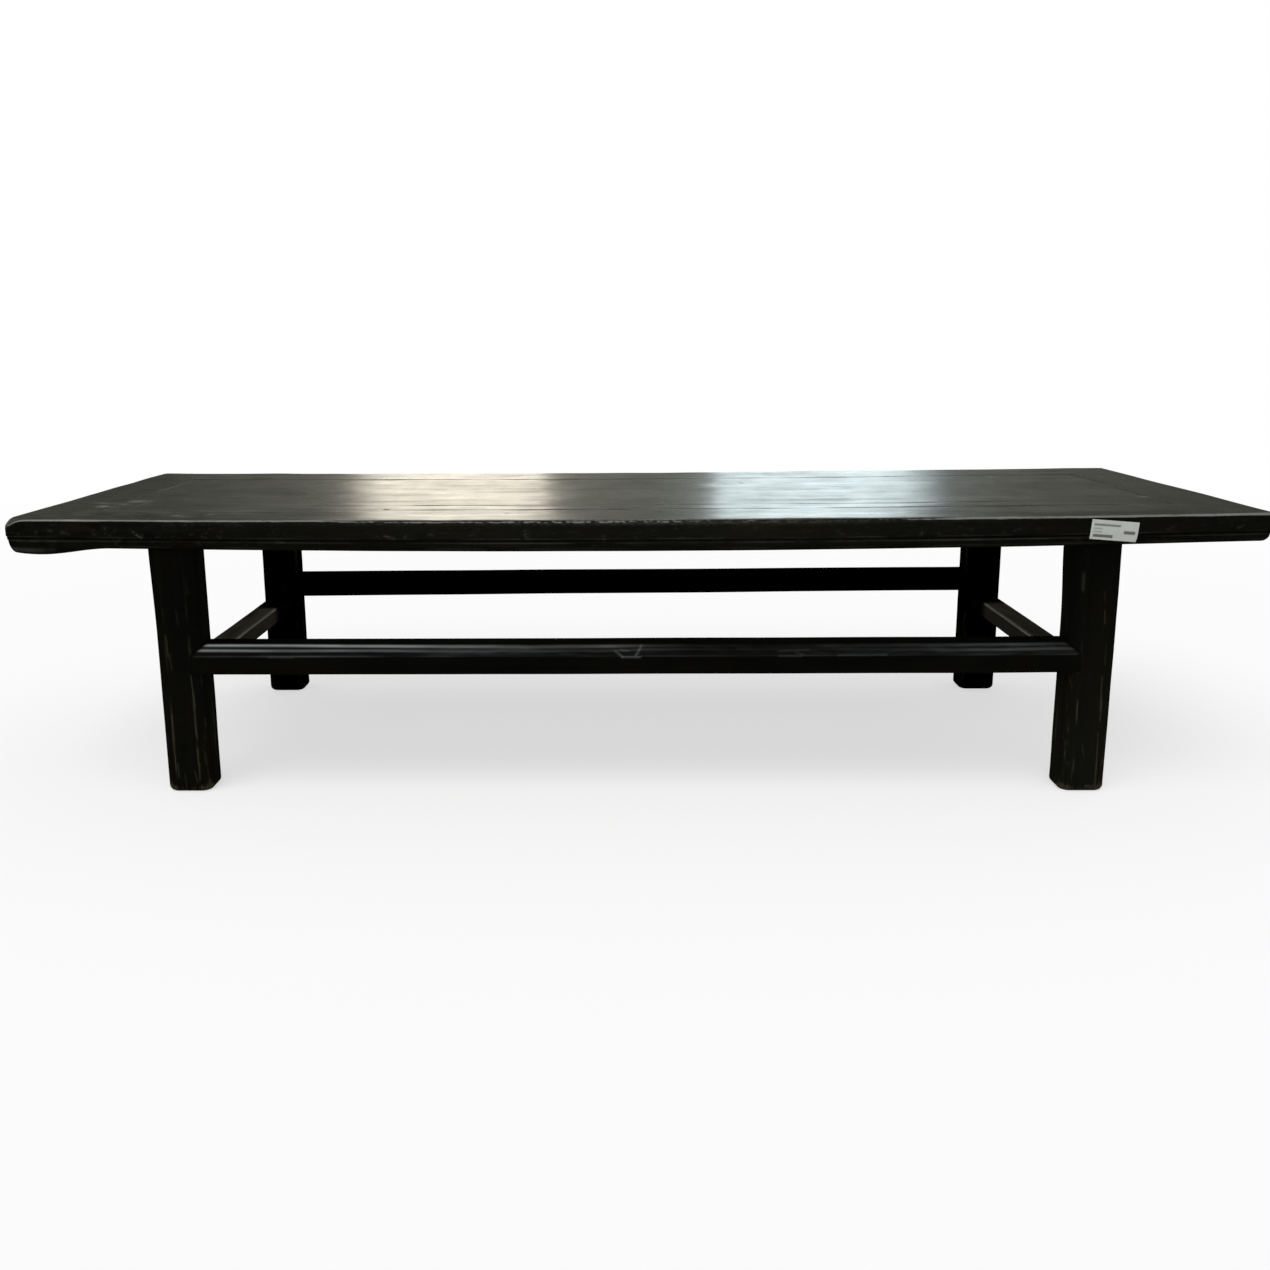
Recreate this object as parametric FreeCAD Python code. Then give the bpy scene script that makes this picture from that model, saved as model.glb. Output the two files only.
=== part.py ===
import FreeCAD, Part
import os

# A low table with a framed top, four legs and four stretchers, in millimetres.
# The floor is z = 0 and the table is centred on x = 0 and y = 0.
# Its length runs along x, its front faces -y, and all joints are cut as a joiner cuts them.

Vector = FreeCAD.Vector

# Whole table
table_length = 1550.0
table_depth = 560.0
table_height = 360.0

# Clearances shared by the joints
fit_clearance = 0.2
end_clearance = 1.0
cut_overrun = 20.0

# Frame of the top
long_rail_width = 96.0
end_rail_width = 83.0

# Moulded outer edge of the frame, from the top downwards
top_arris_round = 2.5
fascia_height = 23.0
edge_step = 1.1
edge_band_height = 5.0
edge_round_height = 12.0
edge_round_depth = 12.5
arc_middle_share = 0.7071

# Floating panel of three boards, flush with the frame
board_thickness = 20.0
panel_gap = 0.6
board_joint_gap = 0.3
front_board_width = 45.0
back_board_width = 130.0
groove_depth = 9.0
board_tongue_length = 6.0
tongue_top_share = 0.35
tongue_thickness_share = 0.3

# Corner joints of the frame, as shares of the rail and of the wood below its groove
corner_tenon_inner_share = 0.35
corner_tenon_outer_share = 0.80
corner_tenon_top_share = 0.1
corner_tenon_bottom_share = 0.5
corner_tenon_cover = 18.0
corner_pin_place_share = 0.58

# Battens under the panel
batten_width = 34.0
batten_recess = 4.0
batten_spacing = 370.0
dovetail_depth = 6.0
dovetail_head_share = 0.85
dovetail_neck_share = 0.65
batten_tenon_length = 24.0
batten_tenon_width_share = 0.65
batten_tenon_top_share = 0.2
batten_tenon_bottom_share = 0.8

# Legs
leg_width = 59.0
leg_depth = 53.0
leg_end_inset = 171.0
leg_side_inset = 13.5
leg_arris_round = 14.5
foot_round = 7.0
leg_tenon_width_share = 0.56
leg_tenon_depth_share = 0.32
leg_tenon_height_share = 0.7

# Front and back stretchers
long_stretcher_top = 195.0
long_stretcher_height = 36.0
long_stretcher_depth = 42.0
stretcher_round_height = 12.0
bead_line_radius = 0.8
bead_line_rise_shares = (0.26, 0.78)
long_tenon_start_share = 0.1
long_tenon_thickness_share = 0.45
long_tenon_height_share = 0.76
stretcher_tenon_reach_share = 0.76

# Side stretchers
side_stretcher_rise = 2.5
side_stretcher_height = 25.0
side_stretcher_width = 33.5
side_arris_round = 3.0
side_tenon_thickness_share = 0.39
side_tenon_height_share = 0.76

# Wooden pins
pin_radius = 3.5
pin_reach = 3.0

# Paper label on the front edge
label_width = 57.0
label_height = 25.0
label_thickness = 0.3
label_end_distance = 192.5
label_centre_drop = 21.5
label_tilt_degrees = 4.6

# Sizes worked out from the driving dimensions
frame_thickness = fascia_height + edge_band_height + edge_round_height
frame_bottom = table_height - frame_thickness
opening_half_length = table_length / 2 - end_rail_width
opening_half_depth = table_depth / 2 - long_rail_width
board_bottom = table_height - board_thickness
tongue_top = table_height - board_thickness * tongue_top_share
tongue_bottom = tongue_top - board_thickness * tongue_thickness_share
groove_bottom = tongue_bottom - fit_clearance
leg_outer_x = table_length / 2 - leg_end_inset
leg_inner_x = leg_outer_x - leg_width
leg_centre_x = leg_outer_x - leg_width / 2
leg_front_y = -(table_depth / 2 - leg_side_inset)
leg_back_y = leg_front_y + leg_depth
long_stretcher_bottom = long_stretcher_top - long_stretcher_height
side_stretcher_top = long_stretcher_bottom + side_stretcher_rise


def box(low, high):
    """The upright box between two corners."""
    size = high - low
    return Part.makeBox(size.x, size.y, size.z, low)


def prism(points, run):
    """The prism that a flat outline of points makes along the vector run."""
    return Part.Face(Part.makePolygon(points + [points[0]])).extrude(run)


def mirror_x(shape):
    """The same shape on the other side of x = 0."""
    return shape.mirror(Vector(0, 0, 0), Vector(1, 0, 0))


def mirror_y(shape):
    """The same shape on the other side of y = 0."""
    return shape.mirror(Vector(0, 0, 0), Vector(0, 1, 0))


def save(shape, node):
    """Writes one node, after joining faces that lie in one surface."""
    shape.removeSplitter().exportStep("parts/" + node + ".step")


def edge_section(width):
    """Section of a rail: outer face at y = 0, inner face at y = width, top at the table's top."""
    bottom = frame_bottom
    top = table_height
    fascia_bottom = top - fascia_height
    band_bottom = fascia_bottom - edge_band_height
    round_start = 2 * edge_step
    round_end = round_start + edge_round_depth
    near = 1 - arc_middle_share
    arris_middle = Vector(0, top_arris_round * near, top - top_arris_round * near)
    round_middle = Vector(
        0,
        round_start + edge_round_depth * near,
        bottom + edge_round_height * near,
    )
    corners = [
        Vector(0, 0, top - top_arris_round),
        Vector(0, 0, fascia_bottom),
        Vector(0, edge_step, fascia_bottom),
        Vector(0, edge_step, band_bottom),
        Vector(0, round_start, band_bottom),
    ]
    after_round = [
        Vector(0, round_end, bottom),
        Vector(0, width, bottom),
        Vector(0, width, top),
        Vector(0, top_arris_round, top),
    ]
    edges = [Part.LineSegment(a, b).toShape() for a, b in zip(corners, corners[1:])]
    edges.append(Part.Arc(corners[-1], round_middle, after_round[0]).toShape())
    edges += [Part.LineSegment(a, b).toShape() for a, b in zip(after_round, after_round[1:])]
    edges.append(Part.Arc(after_round[-1], arris_middle, corners[0]).toShape())
    return Part.Face(Part.Wire(edges))


def mitred_rail(length, width, other_width):
    """A moulded rail centred on x = 0, its ends mitred to meet rails of another width."""
    half = length / 2
    bar = edge_section(width).extrude(Vector(length, 0, 0))
    bar.translate(Vector(-half, 0, 0))
    plan = [
        Vector(-half, 0, frame_bottom),
        Vector(half, 0, frame_bottom),
        Vector(half - other_width, width, frame_bottom),
        Vector(other_width - half, width, frame_bottom),
    ]
    return bar.common(prism(plan, Vector(0, 0, frame_thickness)))


def panel_groove():
    """The space that the panel's tongue takes in all four rails, with its clearance."""
    reach = Vector(opening_half_length + groove_depth, opening_half_depth + groove_depth, 0)
    low = Vector(-reach.x, -reach.y, groove_bottom)
    high = Vector(reach.x, reach.y, tongue_top + fit_clearance)
    return box(low, high)


def corner_tenon():
    """Corners of the tenon at the front rail's right end, starting inside the rail."""
    below_groove = groove_bottom - frame_bottom
    low = Vector(
        opening_half_length,
        -table_depth / 2 + long_rail_width * corner_tenon_inner_share,
        groove_bottom - below_groove * corner_tenon_bottom_share,
    )
    high = Vector(
        table_length / 2 - corner_tenon_cover,
        -table_depth / 2 + long_rail_width * corner_tenon_outer_share,
        groove_bottom - below_groove * corner_tenon_top_share,
    )
    return low, high


def corner_pin(radius, extra_height):
    """The upright pin of the front right corner, from the underside up through the tenon."""
    low, high = corner_tenon()
    reach = high.x - low.x
    base = Vector(low.x + reach * corner_pin_place_share, (low.y + high.y) / 2, frame_bottom)
    height = high.z - frame_bottom + pin_reach + extra_height
    return Part.makeCylinder(radius, height, base)


def leg_tenon():
    """Corners of the tenon on top of the front right leg."""
    half_width = leg_width * leg_tenon_width_share / 2
    half_depth = leg_depth * leg_tenon_depth_share / 2
    centre_y = (leg_front_y + leg_back_y) / 2
    low = Vector(leg_centre_x - half_width, centre_y - half_depth, frame_bottom)
    high = Vector(
        leg_centre_x + half_width,
        centre_y + half_depth,
        frame_bottom + frame_thickness * leg_tenon_height_share,
    )
    return low, high


def batten_places():
    """The x of each batten's middle."""
    return {"left_batten": -batten_spacing, "middle_batten": 0, "right_batten": batten_spacing}


def batten_sizes():
    """Underside and depth of a batten's body below the panel."""
    bottom = frame_bottom + batten_recess
    return bottom, board_bottom - bottom


def batten_tenon(x):
    """Corners of the tenon at the front end of the batten at x."""
    bottom, depth = batten_sizes()
    half_width = batten_width * batten_tenon_width_share / 2
    low = Vector(
        x - half_width,
        -opening_half_depth - batten_tenon_length,
        bottom + depth * (1 - batten_tenon_bottom_share),
    )
    high = Vector(
        x + half_width,
        -opening_half_depth,
        bottom + depth * (1 - batten_tenon_top_share),
    )
    return low, high


def with_mirror(shape, mirror):
    """The shape joined with its mirror image."""
    return shape.fuse(mirror(shape))


def mortise(corners, blind_end):
    """The hole for a tenon given by its corners, with the clearance that its blind end needs."""
    low, high = corners
    side = Vector(fit_clearance, fit_clearance, fit_clearance)
    return box(low - side, high + side + blind_end)


def front_rail_shape():
    """The front long rail: grooved, tenoned at both ends, mortised for legs and battens."""
    rail = mitred_rail(table_length, long_rail_width, end_rail_width)
    rail.translate(Vector(0, -table_depth / 2, 0))
    rail = rail.cut(panel_groove())
    rail = rail.fuse(with_mirror(box(*corner_tenon()), mirror_x))
    leg_low, leg_high = leg_tenon()
    leg_hole = mortise((leg_low, leg_high), Vector(0, 0, end_clearance))
    holes = [with_mirror(leg_hole, mirror_x)]
    for x in batten_places().values():
        low, high = batten_tenon(x)
        holes.append(mortise((low - Vector(0, end_clearance, 0), high), Vector(0, 0, 0)))
    holes.append(with_mirror(corner_pin(pin_radius + fit_clearance, end_clearance), mirror_x))
    return rail.cut(holes)


def end_rail_shape():
    """The right end rail: grooved and mortised for the tenons of both long rails."""
    rail = mitred_rail(table_depth, end_rail_width, long_rail_width)
    rail.rotate(Vector(0, 0, 0), Vector(0, 0, 1), 90)
    rail.translate(Vector(table_length / 2, 0, 0))
    rail = rail.cut(panel_groove())
    low, high = corner_tenon()
    tenon_hole = mortise((low, high), Vector(end_clearance, 0, 0))
    pin_hole = corner_pin(pin_radius + fit_clearance, end_clearance)
    holes = [with_mirror(tenon_hole, mirror_y), with_mirror(pin_hole, mirror_y)]
    return rail.cut(holes)


def dovetail(x, clearance):
    """The dovetail on top of the batten at x, as long as the panel is deep."""
    top = board_bottom + dovetail_depth + clearance
    neck = batten_width * dovetail_neck_share / 2 + clearance
    head = batten_width * dovetail_head_share / 2 + clearance
    y = -opening_half_depth
    points = [
        Vector(x - neck, y, board_bottom),
        Vector(x + neck, y, board_bottom),
        Vector(x + head, y, top),
        Vector(x - head, y, top),
    ]
    return prism(points, Vector(0, 2 * opening_half_depth, 0))


def board_joints():
    """The y of the two joints between the boards."""
    front_joint = -opening_half_depth + front_board_width
    back_joint = opening_half_depth - back_board_width
    return front_joint, back_joint


def board_shape(front, back, front_tongue, back_tongue):
    """A board between two y values, with tongues of the given lengths on its long edges."""
    body_half = opening_half_length - panel_gap
    tongue_half = opening_half_length + groove_depth - end_clearance
    body = box(Vector(-body_half, front, board_bottom), Vector(body_half, back, table_height))
    tongue = box(
        Vector(-tongue_half, front - front_tongue, tongue_bottom),
        Vector(tongue_half, back + back_tongue, tongue_top),
    )
    battens = [dovetail(x, fit_clearance) for x in batten_places().values()]
    return body.fuse(tongue).cut(battens)


def board_groove(joint, side):
    """The groove for the middle board's tongue, in the board on one side of a joint."""
    half = table_length / 2
    reach = board_tongue_length + end_clearance
    low_y = min(joint, joint + side * reach)
    low = Vector(-half, low_y, tongue_bottom - fit_clearance)
    high = Vector(half, low_y + reach, tongue_top + fit_clearance)
    return box(low, high)


def build_boards():
    """The three boards of the panel, each tongued into the frame and into its neighbour."""
    front_joint, back_joint = board_joints()
    edge = opening_half_depth - panel_gap
    frame_tongue = groove_depth + panel_gap - end_clearance
    half_gap = board_joint_gap / 2
    front = board_shape(-edge, front_joint - half_gap, frame_tongue, 0)
    middle = board_shape(
        front_joint + half_gap,
        back_joint - half_gap,
        board_tongue_length,
        board_tongue_length,
    )
    back = board_shape(back_joint + half_gap, edge, 0, frame_tongue)
    save(front.cut(board_groove(front_joint, -1)), "front_board")
    save(middle, "middle_board")
    save(back.cut(board_groove(back_joint, 1)), "back_board")


def batten_shape(x):
    """A batten across the underside of the panel, with a dovetail above and tenons at its ends."""
    bottom, depth = batten_sizes()
    half = batten_width / 2
    low = Vector(x - half, -opening_half_depth, bottom)
    high = Vector(x + half, opening_half_depth, board_bottom)
    tenons = with_mirror(box(*batten_tenon(x)), mirror_y)
    return box(low, high).fuse([dovetail(x, 0), tenons])


def rounded_post(low, high, radius):
    """An upright post between two corners, its four arrises rounded."""
    near = radius * (1 - arc_middle_share)
    z = low.z
    x0, x1, y0, y1 = low.x, high.x, low.y, high.y
    turns = [
        (Vector(x1 - radius, y0, z), Vector(x1 - near, y0 + near, z), Vector(x1, y0 + radius, z)),
        (Vector(x1, y1 - radius, z), Vector(x1 - near, y1 - near, z), Vector(x1 - radius, y1, z)),
        (Vector(x0 + radius, y1, z), Vector(x0 + near, y1 - near, z), Vector(x0, y1 - radius, z)),
        (Vector(x0, y0 + radius, z), Vector(x0 + near, y0 + near, z), Vector(x0 + radius, y0, z)),
    ]
    edges = []
    for turn, following in zip(turns, turns[1:] + turns[:1]):
        edges.append(Part.Arc(*turn).toShape())
        edges.append(Part.LineSegment(turn[2], following[0]).toShape())
    return Part.Face(Part.Wire(edges)).extrude(Vector(0, 0, high.z - low.z))


def shoulder_lap():
    """The space where the front stretcher's half-mitred shoulder laps over the right leg's arris."""
    x = leg_inner_x
    y = leg_front_y
    outline = [
        Vector(x, y, long_stretcher_bottom),
        Vector(x + leg_arris_round, y, long_stretcher_bottom),
        Vector(x + leg_arris_round, y, long_stretcher_top - stretcher_round_height),
        Vector(x, y, long_stretcher_top),
    ]
    return prism(outline, Vector(0, leg_arris_round, 0))


def long_stretcher_tenon():
    """Corners of the front stretcher's tenon in the right leg."""
    behind_lap = long_stretcher_depth - leg_arris_round
    start = leg_front_y + leg_arris_round + behind_lap * long_tenon_start_share
    margin = long_stretcher_height * (1 - long_tenon_height_share) / 2
    low = Vector(leg_inner_x, start, long_stretcher_bottom + margin)
    high = Vector(
        leg_inner_x + leg_width * stretcher_tenon_reach_share,
        start + behind_lap * long_tenon_thickness_share,
        long_stretcher_top - margin,
    )
    return low, high


def side_stretcher_tenon():
    """Corners of the right side stretcher's tenon in the front leg."""
    half = side_stretcher_width * side_tenon_thickness_share / 2
    margin = side_stretcher_height * (1 - side_tenon_height_share) / 2
    low = Vector(
        leg_centre_x - half,
        leg_back_y - leg_depth * stretcher_tenon_reach_share,
        side_stretcher_top - side_stretcher_height + margin,
    )
    high = Vector(leg_centre_x + half, leg_back_y, side_stretcher_top - margin)
    return low, high


def side_mortise():
    """The hole for the side stretcher's tenon, deeper than the tenon towards the front."""
    low, high = side_stretcher_tenon()
    return mortise((low - Vector(0, end_clearance, 0), high), Vector(0, 0, 0))


def long_stretcher_pin(radius, extra_length):
    """The pin of the front stretcher's tenon, driven from the back of the front right leg."""
    low, high = long_stretcher_tenon()
    start = Vector((low.x + high.x) / 2, leg_back_y, (low.z + high.z) / 2)
    length = leg_back_y - low.y + pin_reach + extra_length
    return Part.makeCylinder(radius, length, start, Vector(0, -1, 0))


def side_stretcher_pin(radius, extra_length):
    """The pin of the side stretcher's tenon, driven from the inner side of the front right leg."""
    low, high = side_stretcher_tenon()
    start = Vector(leg_inner_x, (low.y + high.y) / 2, (low.z + high.z) / 2)
    length = high.x - leg_inner_x + pin_reach + extra_length
    return Part.makeCylinder(radius, length, start, Vector(1, 0, 0))


def leg_shape():
    """The front right leg, with its top tenon and everything cut in it for the stretchers."""
    low = Vector(leg_inner_x, leg_front_y, 0)
    high = Vector(leg_outer_x, leg_back_y, frame_bottom)
    post = rounded_post(low, high, leg_arris_round)
    foot_edges = [edge for edge in post.Edges if edge.BoundBox.ZMax < foot_round]
    post = post.makeFillet(min(foot_round, leg_arris_round), foot_edges)
    leg = post.fuse(box(*leg_tenon()))
    hole_radius = pin_radius + fit_clearance
    cuts = [
        shoulder_lap(),
        mortise(long_stretcher_tenon(), Vector(end_clearance, 0, 0)),
        side_mortise(),
        long_stretcher_pin(hole_radius, end_clearance),
        side_stretcher_pin(hole_radius, end_clearance),
    ]
    return leg.cut(cuts)


def long_stretcher_section():
    """Section of the front stretcher, its top front arris rounded over an oval quarter."""
    y0 = leg_front_y
    y1 = y0 + long_stretcher_depth
    round_foot = Vector(0, y0, long_stretcher_top - stretcher_round_height)
    round_head = Vector(0, y0 + leg_arris_round, long_stretcher_top)
    near = 1 - arc_middle_share
    middle = Vector(
        0,
        y0 + leg_arris_round * near,
        long_stretcher_top - stretcher_round_height * near,
    )
    corners = [
        round_head,
        Vector(0, y1, long_stretcher_top),
        Vector(0, y1, long_stretcher_bottom),
        Vector(0, y0, long_stretcher_bottom),
        round_foot,
    ]
    edges = [Part.LineSegment(a, b).toShape() for a, b in zip(corners, corners[1:])]
    edges.append(Part.Arc(round_foot, middle, round_head).toShape())
    return Part.Face(Part.Wire(edges))


def bead_lines(length):
    """The fine hollow lines that part the beads along the rounded arris."""
    lines = []
    for rise in bead_line_rise_shares:
        inset = 1 - (1 - rise ** 2) ** 0.5
        place = Vector(
            -length / 2,
            leg_front_y + leg_arris_round * inset,
            long_stretcher_top - stretcher_round_height * (1 - rise),
        )
        lines.append(Part.makeCylinder(bead_line_radius, length, place, Vector(1, 0, 0)))
    return lines


def long_stretcher_shape():
    """The front stretcher, with half-mitred shoulders and a tenon at each end."""
    length = 2 * (leg_inner_x + leg_arris_round)
    bar = long_stretcher_section().extrude(Vector(length, 0, 0))
    bar.translate(Vector(-length / 2, 0, 0))
    bar = bar.cut(bead_lines(length))
    y0 = leg_front_y - cut_overrun
    y1 = leg_front_y + long_stretcher_depth + cut_overrun
    between_legs = box(
        Vector(-leg_inner_x, y0, long_stretcher_bottom),
        Vector(leg_inner_x, y1, long_stretcher_top),
    )
    keep = between_legs.fuse(with_mirror(shoulder_lap(), mirror_x))
    tenons = with_mirror(box(*long_stretcher_tenon()), mirror_x)
    holes = with_mirror(long_stretcher_pin(pin_radius + fit_clearance, 0), mirror_x)
    return bar.common(keep).fuse(tenons).cut(holes)


def side_stretcher_shape():
    """The right side stretcher between the two right legs, with a tenon at each end."""
    half = side_stretcher_width / 2
    low = Vector(leg_centre_x - half, leg_back_y, side_stretcher_top - side_stretcher_height)
    high = Vector(leg_centre_x + half, -leg_back_y, side_stretcher_top)
    bar = box(low, high)
    long_edges = [edge for edge in bar.Edges if edge.BoundBox.YLength > leg_depth]
    top_edges = [edge for edge in long_edges if edge.BoundBox.ZMin > low.z]
    bar = bar.makeFillet(side_arris_round, top_edges)
    tenons = with_mirror(box(*side_stretcher_tenon()), mirror_y)
    holes = with_mirror(side_stretcher_pin(pin_radius + fit_clearance, 0), mirror_y)
    return bar.fuse(tenons).cut(holes)


def four_corners(shape):
    """The shape of the front right corner, repeated at all four corners as one group."""
    right = [shape, mirror_y(shape)]
    return Part.makeCompound(right + [mirror_x(item) for item in right])


def label_shape():
    """The paper label, tilted a little, flat against the upright part of the front edge."""
    front = -table_depth / 2
    centre = Vector(
        table_length / 2 - label_end_distance,
        front,
        table_height - label_centre_drop,
    )
    low = Vector(-label_width / 2, -label_thickness, -label_height / 2)
    high = Vector(label_width / 2, 0, label_height / 2)
    label = box(low, high)
    label.rotate(Vector(0, 0, 0), Vector(0, 1, 0), label_tilt_degrees)
    label.translate(centre)
    return label


def build_frame():
    """The four rails of the top's frame."""
    front = front_rail_shape()
    right = end_rail_shape()
    save(front, "front_rail")
    save(mirror_y(front), "back_rail")
    save(right, "right_end_rail")
    save(mirror_x(right), "left_end_rail")


def build_stand():
    """The four legs and the four stretchers."""
    leg = leg_shape()
    save(leg, "front_right_leg")
    save(mirror_x(leg), "front_left_leg")
    save(mirror_y(leg), "back_right_leg")
    save(mirror_x(mirror_y(leg)), "back_left_leg")
    long_stretcher = long_stretcher_shape()
    save(long_stretcher, "front_stretcher")
    save(mirror_y(long_stretcher), "back_stretcher")
    side_stretcher = side_stretcher_shape()
    save(side_stretcher, "right_stretcher")
    save(mirror_x(side_stretcher), "left_stretcher")


def build_pins():
    """Three groups of four wooden pins."""
    four_corners(corner_pin(pin_radius, 0)).exportStep("parts/frame_corner_pins.step")
    four_corners(long_stretcher_pin(pin_radius, 0)).exportStep("parts/long_stretcher_pins.step")
    four_corners(side_stretcher_pin(pin_radius, 0)).exportStep("parts/side_stretcher_pins.step")


os.makedirs("parts", exist_ok=True)
build_frame()
build_boards()
for node, x in batten_places().items():
    save(batten_shape(x), node)
build_stand()
build_pins()
save(label_shape(), "paper_label")
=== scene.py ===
import math

import bpy
import numpy as np
from mathutils import Matrix


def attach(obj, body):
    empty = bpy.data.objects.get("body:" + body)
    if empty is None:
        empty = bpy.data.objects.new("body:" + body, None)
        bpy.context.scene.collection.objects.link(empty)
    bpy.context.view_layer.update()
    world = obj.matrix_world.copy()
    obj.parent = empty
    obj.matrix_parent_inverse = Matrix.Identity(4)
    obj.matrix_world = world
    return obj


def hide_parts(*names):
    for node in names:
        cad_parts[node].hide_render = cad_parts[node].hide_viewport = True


# A low table in worn black lacquer: a mitred frame round a flush panel of three boards,
# four square legs and four stretchers. Lengths are in metres, and in millimetres in the tables
# of marks and wear. The floor is z = 0, the front faces -y and the length runs along x.

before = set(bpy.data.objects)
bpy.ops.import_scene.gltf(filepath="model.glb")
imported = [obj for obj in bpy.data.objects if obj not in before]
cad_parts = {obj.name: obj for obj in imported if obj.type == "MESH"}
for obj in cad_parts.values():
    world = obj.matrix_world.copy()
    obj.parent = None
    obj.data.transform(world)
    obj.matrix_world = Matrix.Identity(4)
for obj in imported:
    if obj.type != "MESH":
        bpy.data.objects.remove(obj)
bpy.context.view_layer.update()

MM = 0.001

# The top: outline, edge moulding and joints
half_length = 775 * MM
half_depth = 280 * MM
top_height = 360 * MM
frame_bottom = 320 * MM
long_rail_width = 96 * MM
end_rail_width = 83 * MM
moulding_inset = 14.7 * MM
corner_round = 9 * MM
front_board_joint = -139 * MM
back_board_joint = 54 * MM
board_bottom = 340 * MM
tongue_bottom = 347 * MM
tongue_top = 353 * MM
tongue_length = 8 * MM
joint_tongue_length = 6 * MM
panel_gap = 0.6 * MM
board_gap = 0.3 * MM
batten_spacing = 370 * MM
batten_half_width = 17 * MM
rail_step = 2.1 * MM
board_step = 3 * MM

# Heights of the moulding: the foot of its flat face, its pale lines, rubbed and partly painted highlight on
# its edges, and its hollows, darkened with painted shade
fascia_foot = 337 * MM
upper_line = 336.95 * MM
lower_line = 331.6 * MM
foot_line = 324.4 * MM
upper_hollow = 334.6 * MM
lower_hollow = 329.6 * MM

# The stand
leg_inner = 545 * MM
leg_outer = 604 * MM
leg_front = -266.5 * MM
leg_back = -213.5 * MM
leg_top = 327 * MM
leg_round = 14.5 * MM
foot_round = 7 * MM
stretcher_top = 195 * MM
stretcher_bottom = 159 * MM
stretcher_back = -224.5 * MM
bead_height = 12 * MM
side_stretcher_top = 161.5 * MM
side_stretcher_bottom = 136.5 * MM
side_stretcher_half_width = 16.75 * MM
housed = 2 * MM
peg_radius = 3.5 * MM

# The label
label_width = 57 * MM
label_height = 24.2 * MM
label_thickness = 0.12 * MM
label_x = 582.5 * MM
label_z = 338.3 * MM
label_tilt = math.radians(4.6)


# Surfaces worked out on grids

def ripple(a, b, size_a, size_b, seed, waves=26):
    """Hand-made unevenness: the sum of sine waves with random headings and phases over a and b.
    Its hills are about size_a by size_b across, and it stays mostly between -1 and 1."""
    random = np.random.default_rng(seed)
    turns = random.normal(0, 1, (waves, 2)) * (2.6 / size_a, 2.6 / size_b)
    phases = random.uniform(0, 2 * math.pi, waves)
    total = 0
    for (turn_a, turn_b), phase in zip(turns, phases):
        total = total + np.sin(turn_a * a + turn_b * b + phase)
    return total / math.sqrt(waves)


def hump(distance, width):
    """A soft hump: e to the minus square of the distance over the width."""
    return np.exp(-(distance / width) ** 2)


def ease(value, low, high):
    """Runs from 0 at low to 1 at high along 3t^2 - 2t^3."""
    share = np.clip((value - low) / (high - low), 0, 1)
    return share * share * (3 - 2 * share)


def stroke(a, b, start, end, width):
    """A soft line: the hump of the distance from the straight piece between start and end."""
    run_a, run_b = end[0] - start[0], end[1] - start[1]
    share = ((a - start[0]) * run_a + (b - start[1]) * run_b) / (run_a ** 2 + run_b ** 2)
    share = np.clip(share, 0, 1)
    return hump(np.hypot(a - start[0] - share * run_a, b - start[1] - share * run_b), width)


def strokes(a, b, marks, width):
    """A sum of strokes of one width: each mark is its start and end in millimetres, and its
    strength."""
    total = 0
    for start_a, start_b, end_a, end_b, strength in marks:
        start, end = (start_a * MM, start_b * MM), (end_a * MM, end_b * MM)
        total = total + strength * stroke(a, b, start, end, width)
    return total


def tube(rings):
    """A closed tube from an array of rings: quads between neighbours, one face on each end."""
    stations, around = rings.shape[:2]
    index = np.arange(stations * around).reshape(stations, around)
    near, far = index[:-1], index[1:]
    quads = np.stack([near, far, np.roll(far, -1, 1), np.roll(near, -1, 1)], -1)
    return rings.reshape(-1, 3), quads.reshape(-1, 4), [index[0], index[-1][::-1]]


def volume(points, quads, caps):
    """Six times the volume inside: the sum of the triple products of all triangles."""
    fans = [np.stack([np.full(len(c) - 2, c[0]), c[1:-1], c[2:]], -1) for c in caps]
    triangles = np.concatenate([quads[:, :3], quads[:, [0, 2, 3]]] + fans)
    a, b, c = (points[triangles[:, i]] for i in range(3))
    return float((a * np.cross(b, c)).sum())


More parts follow.
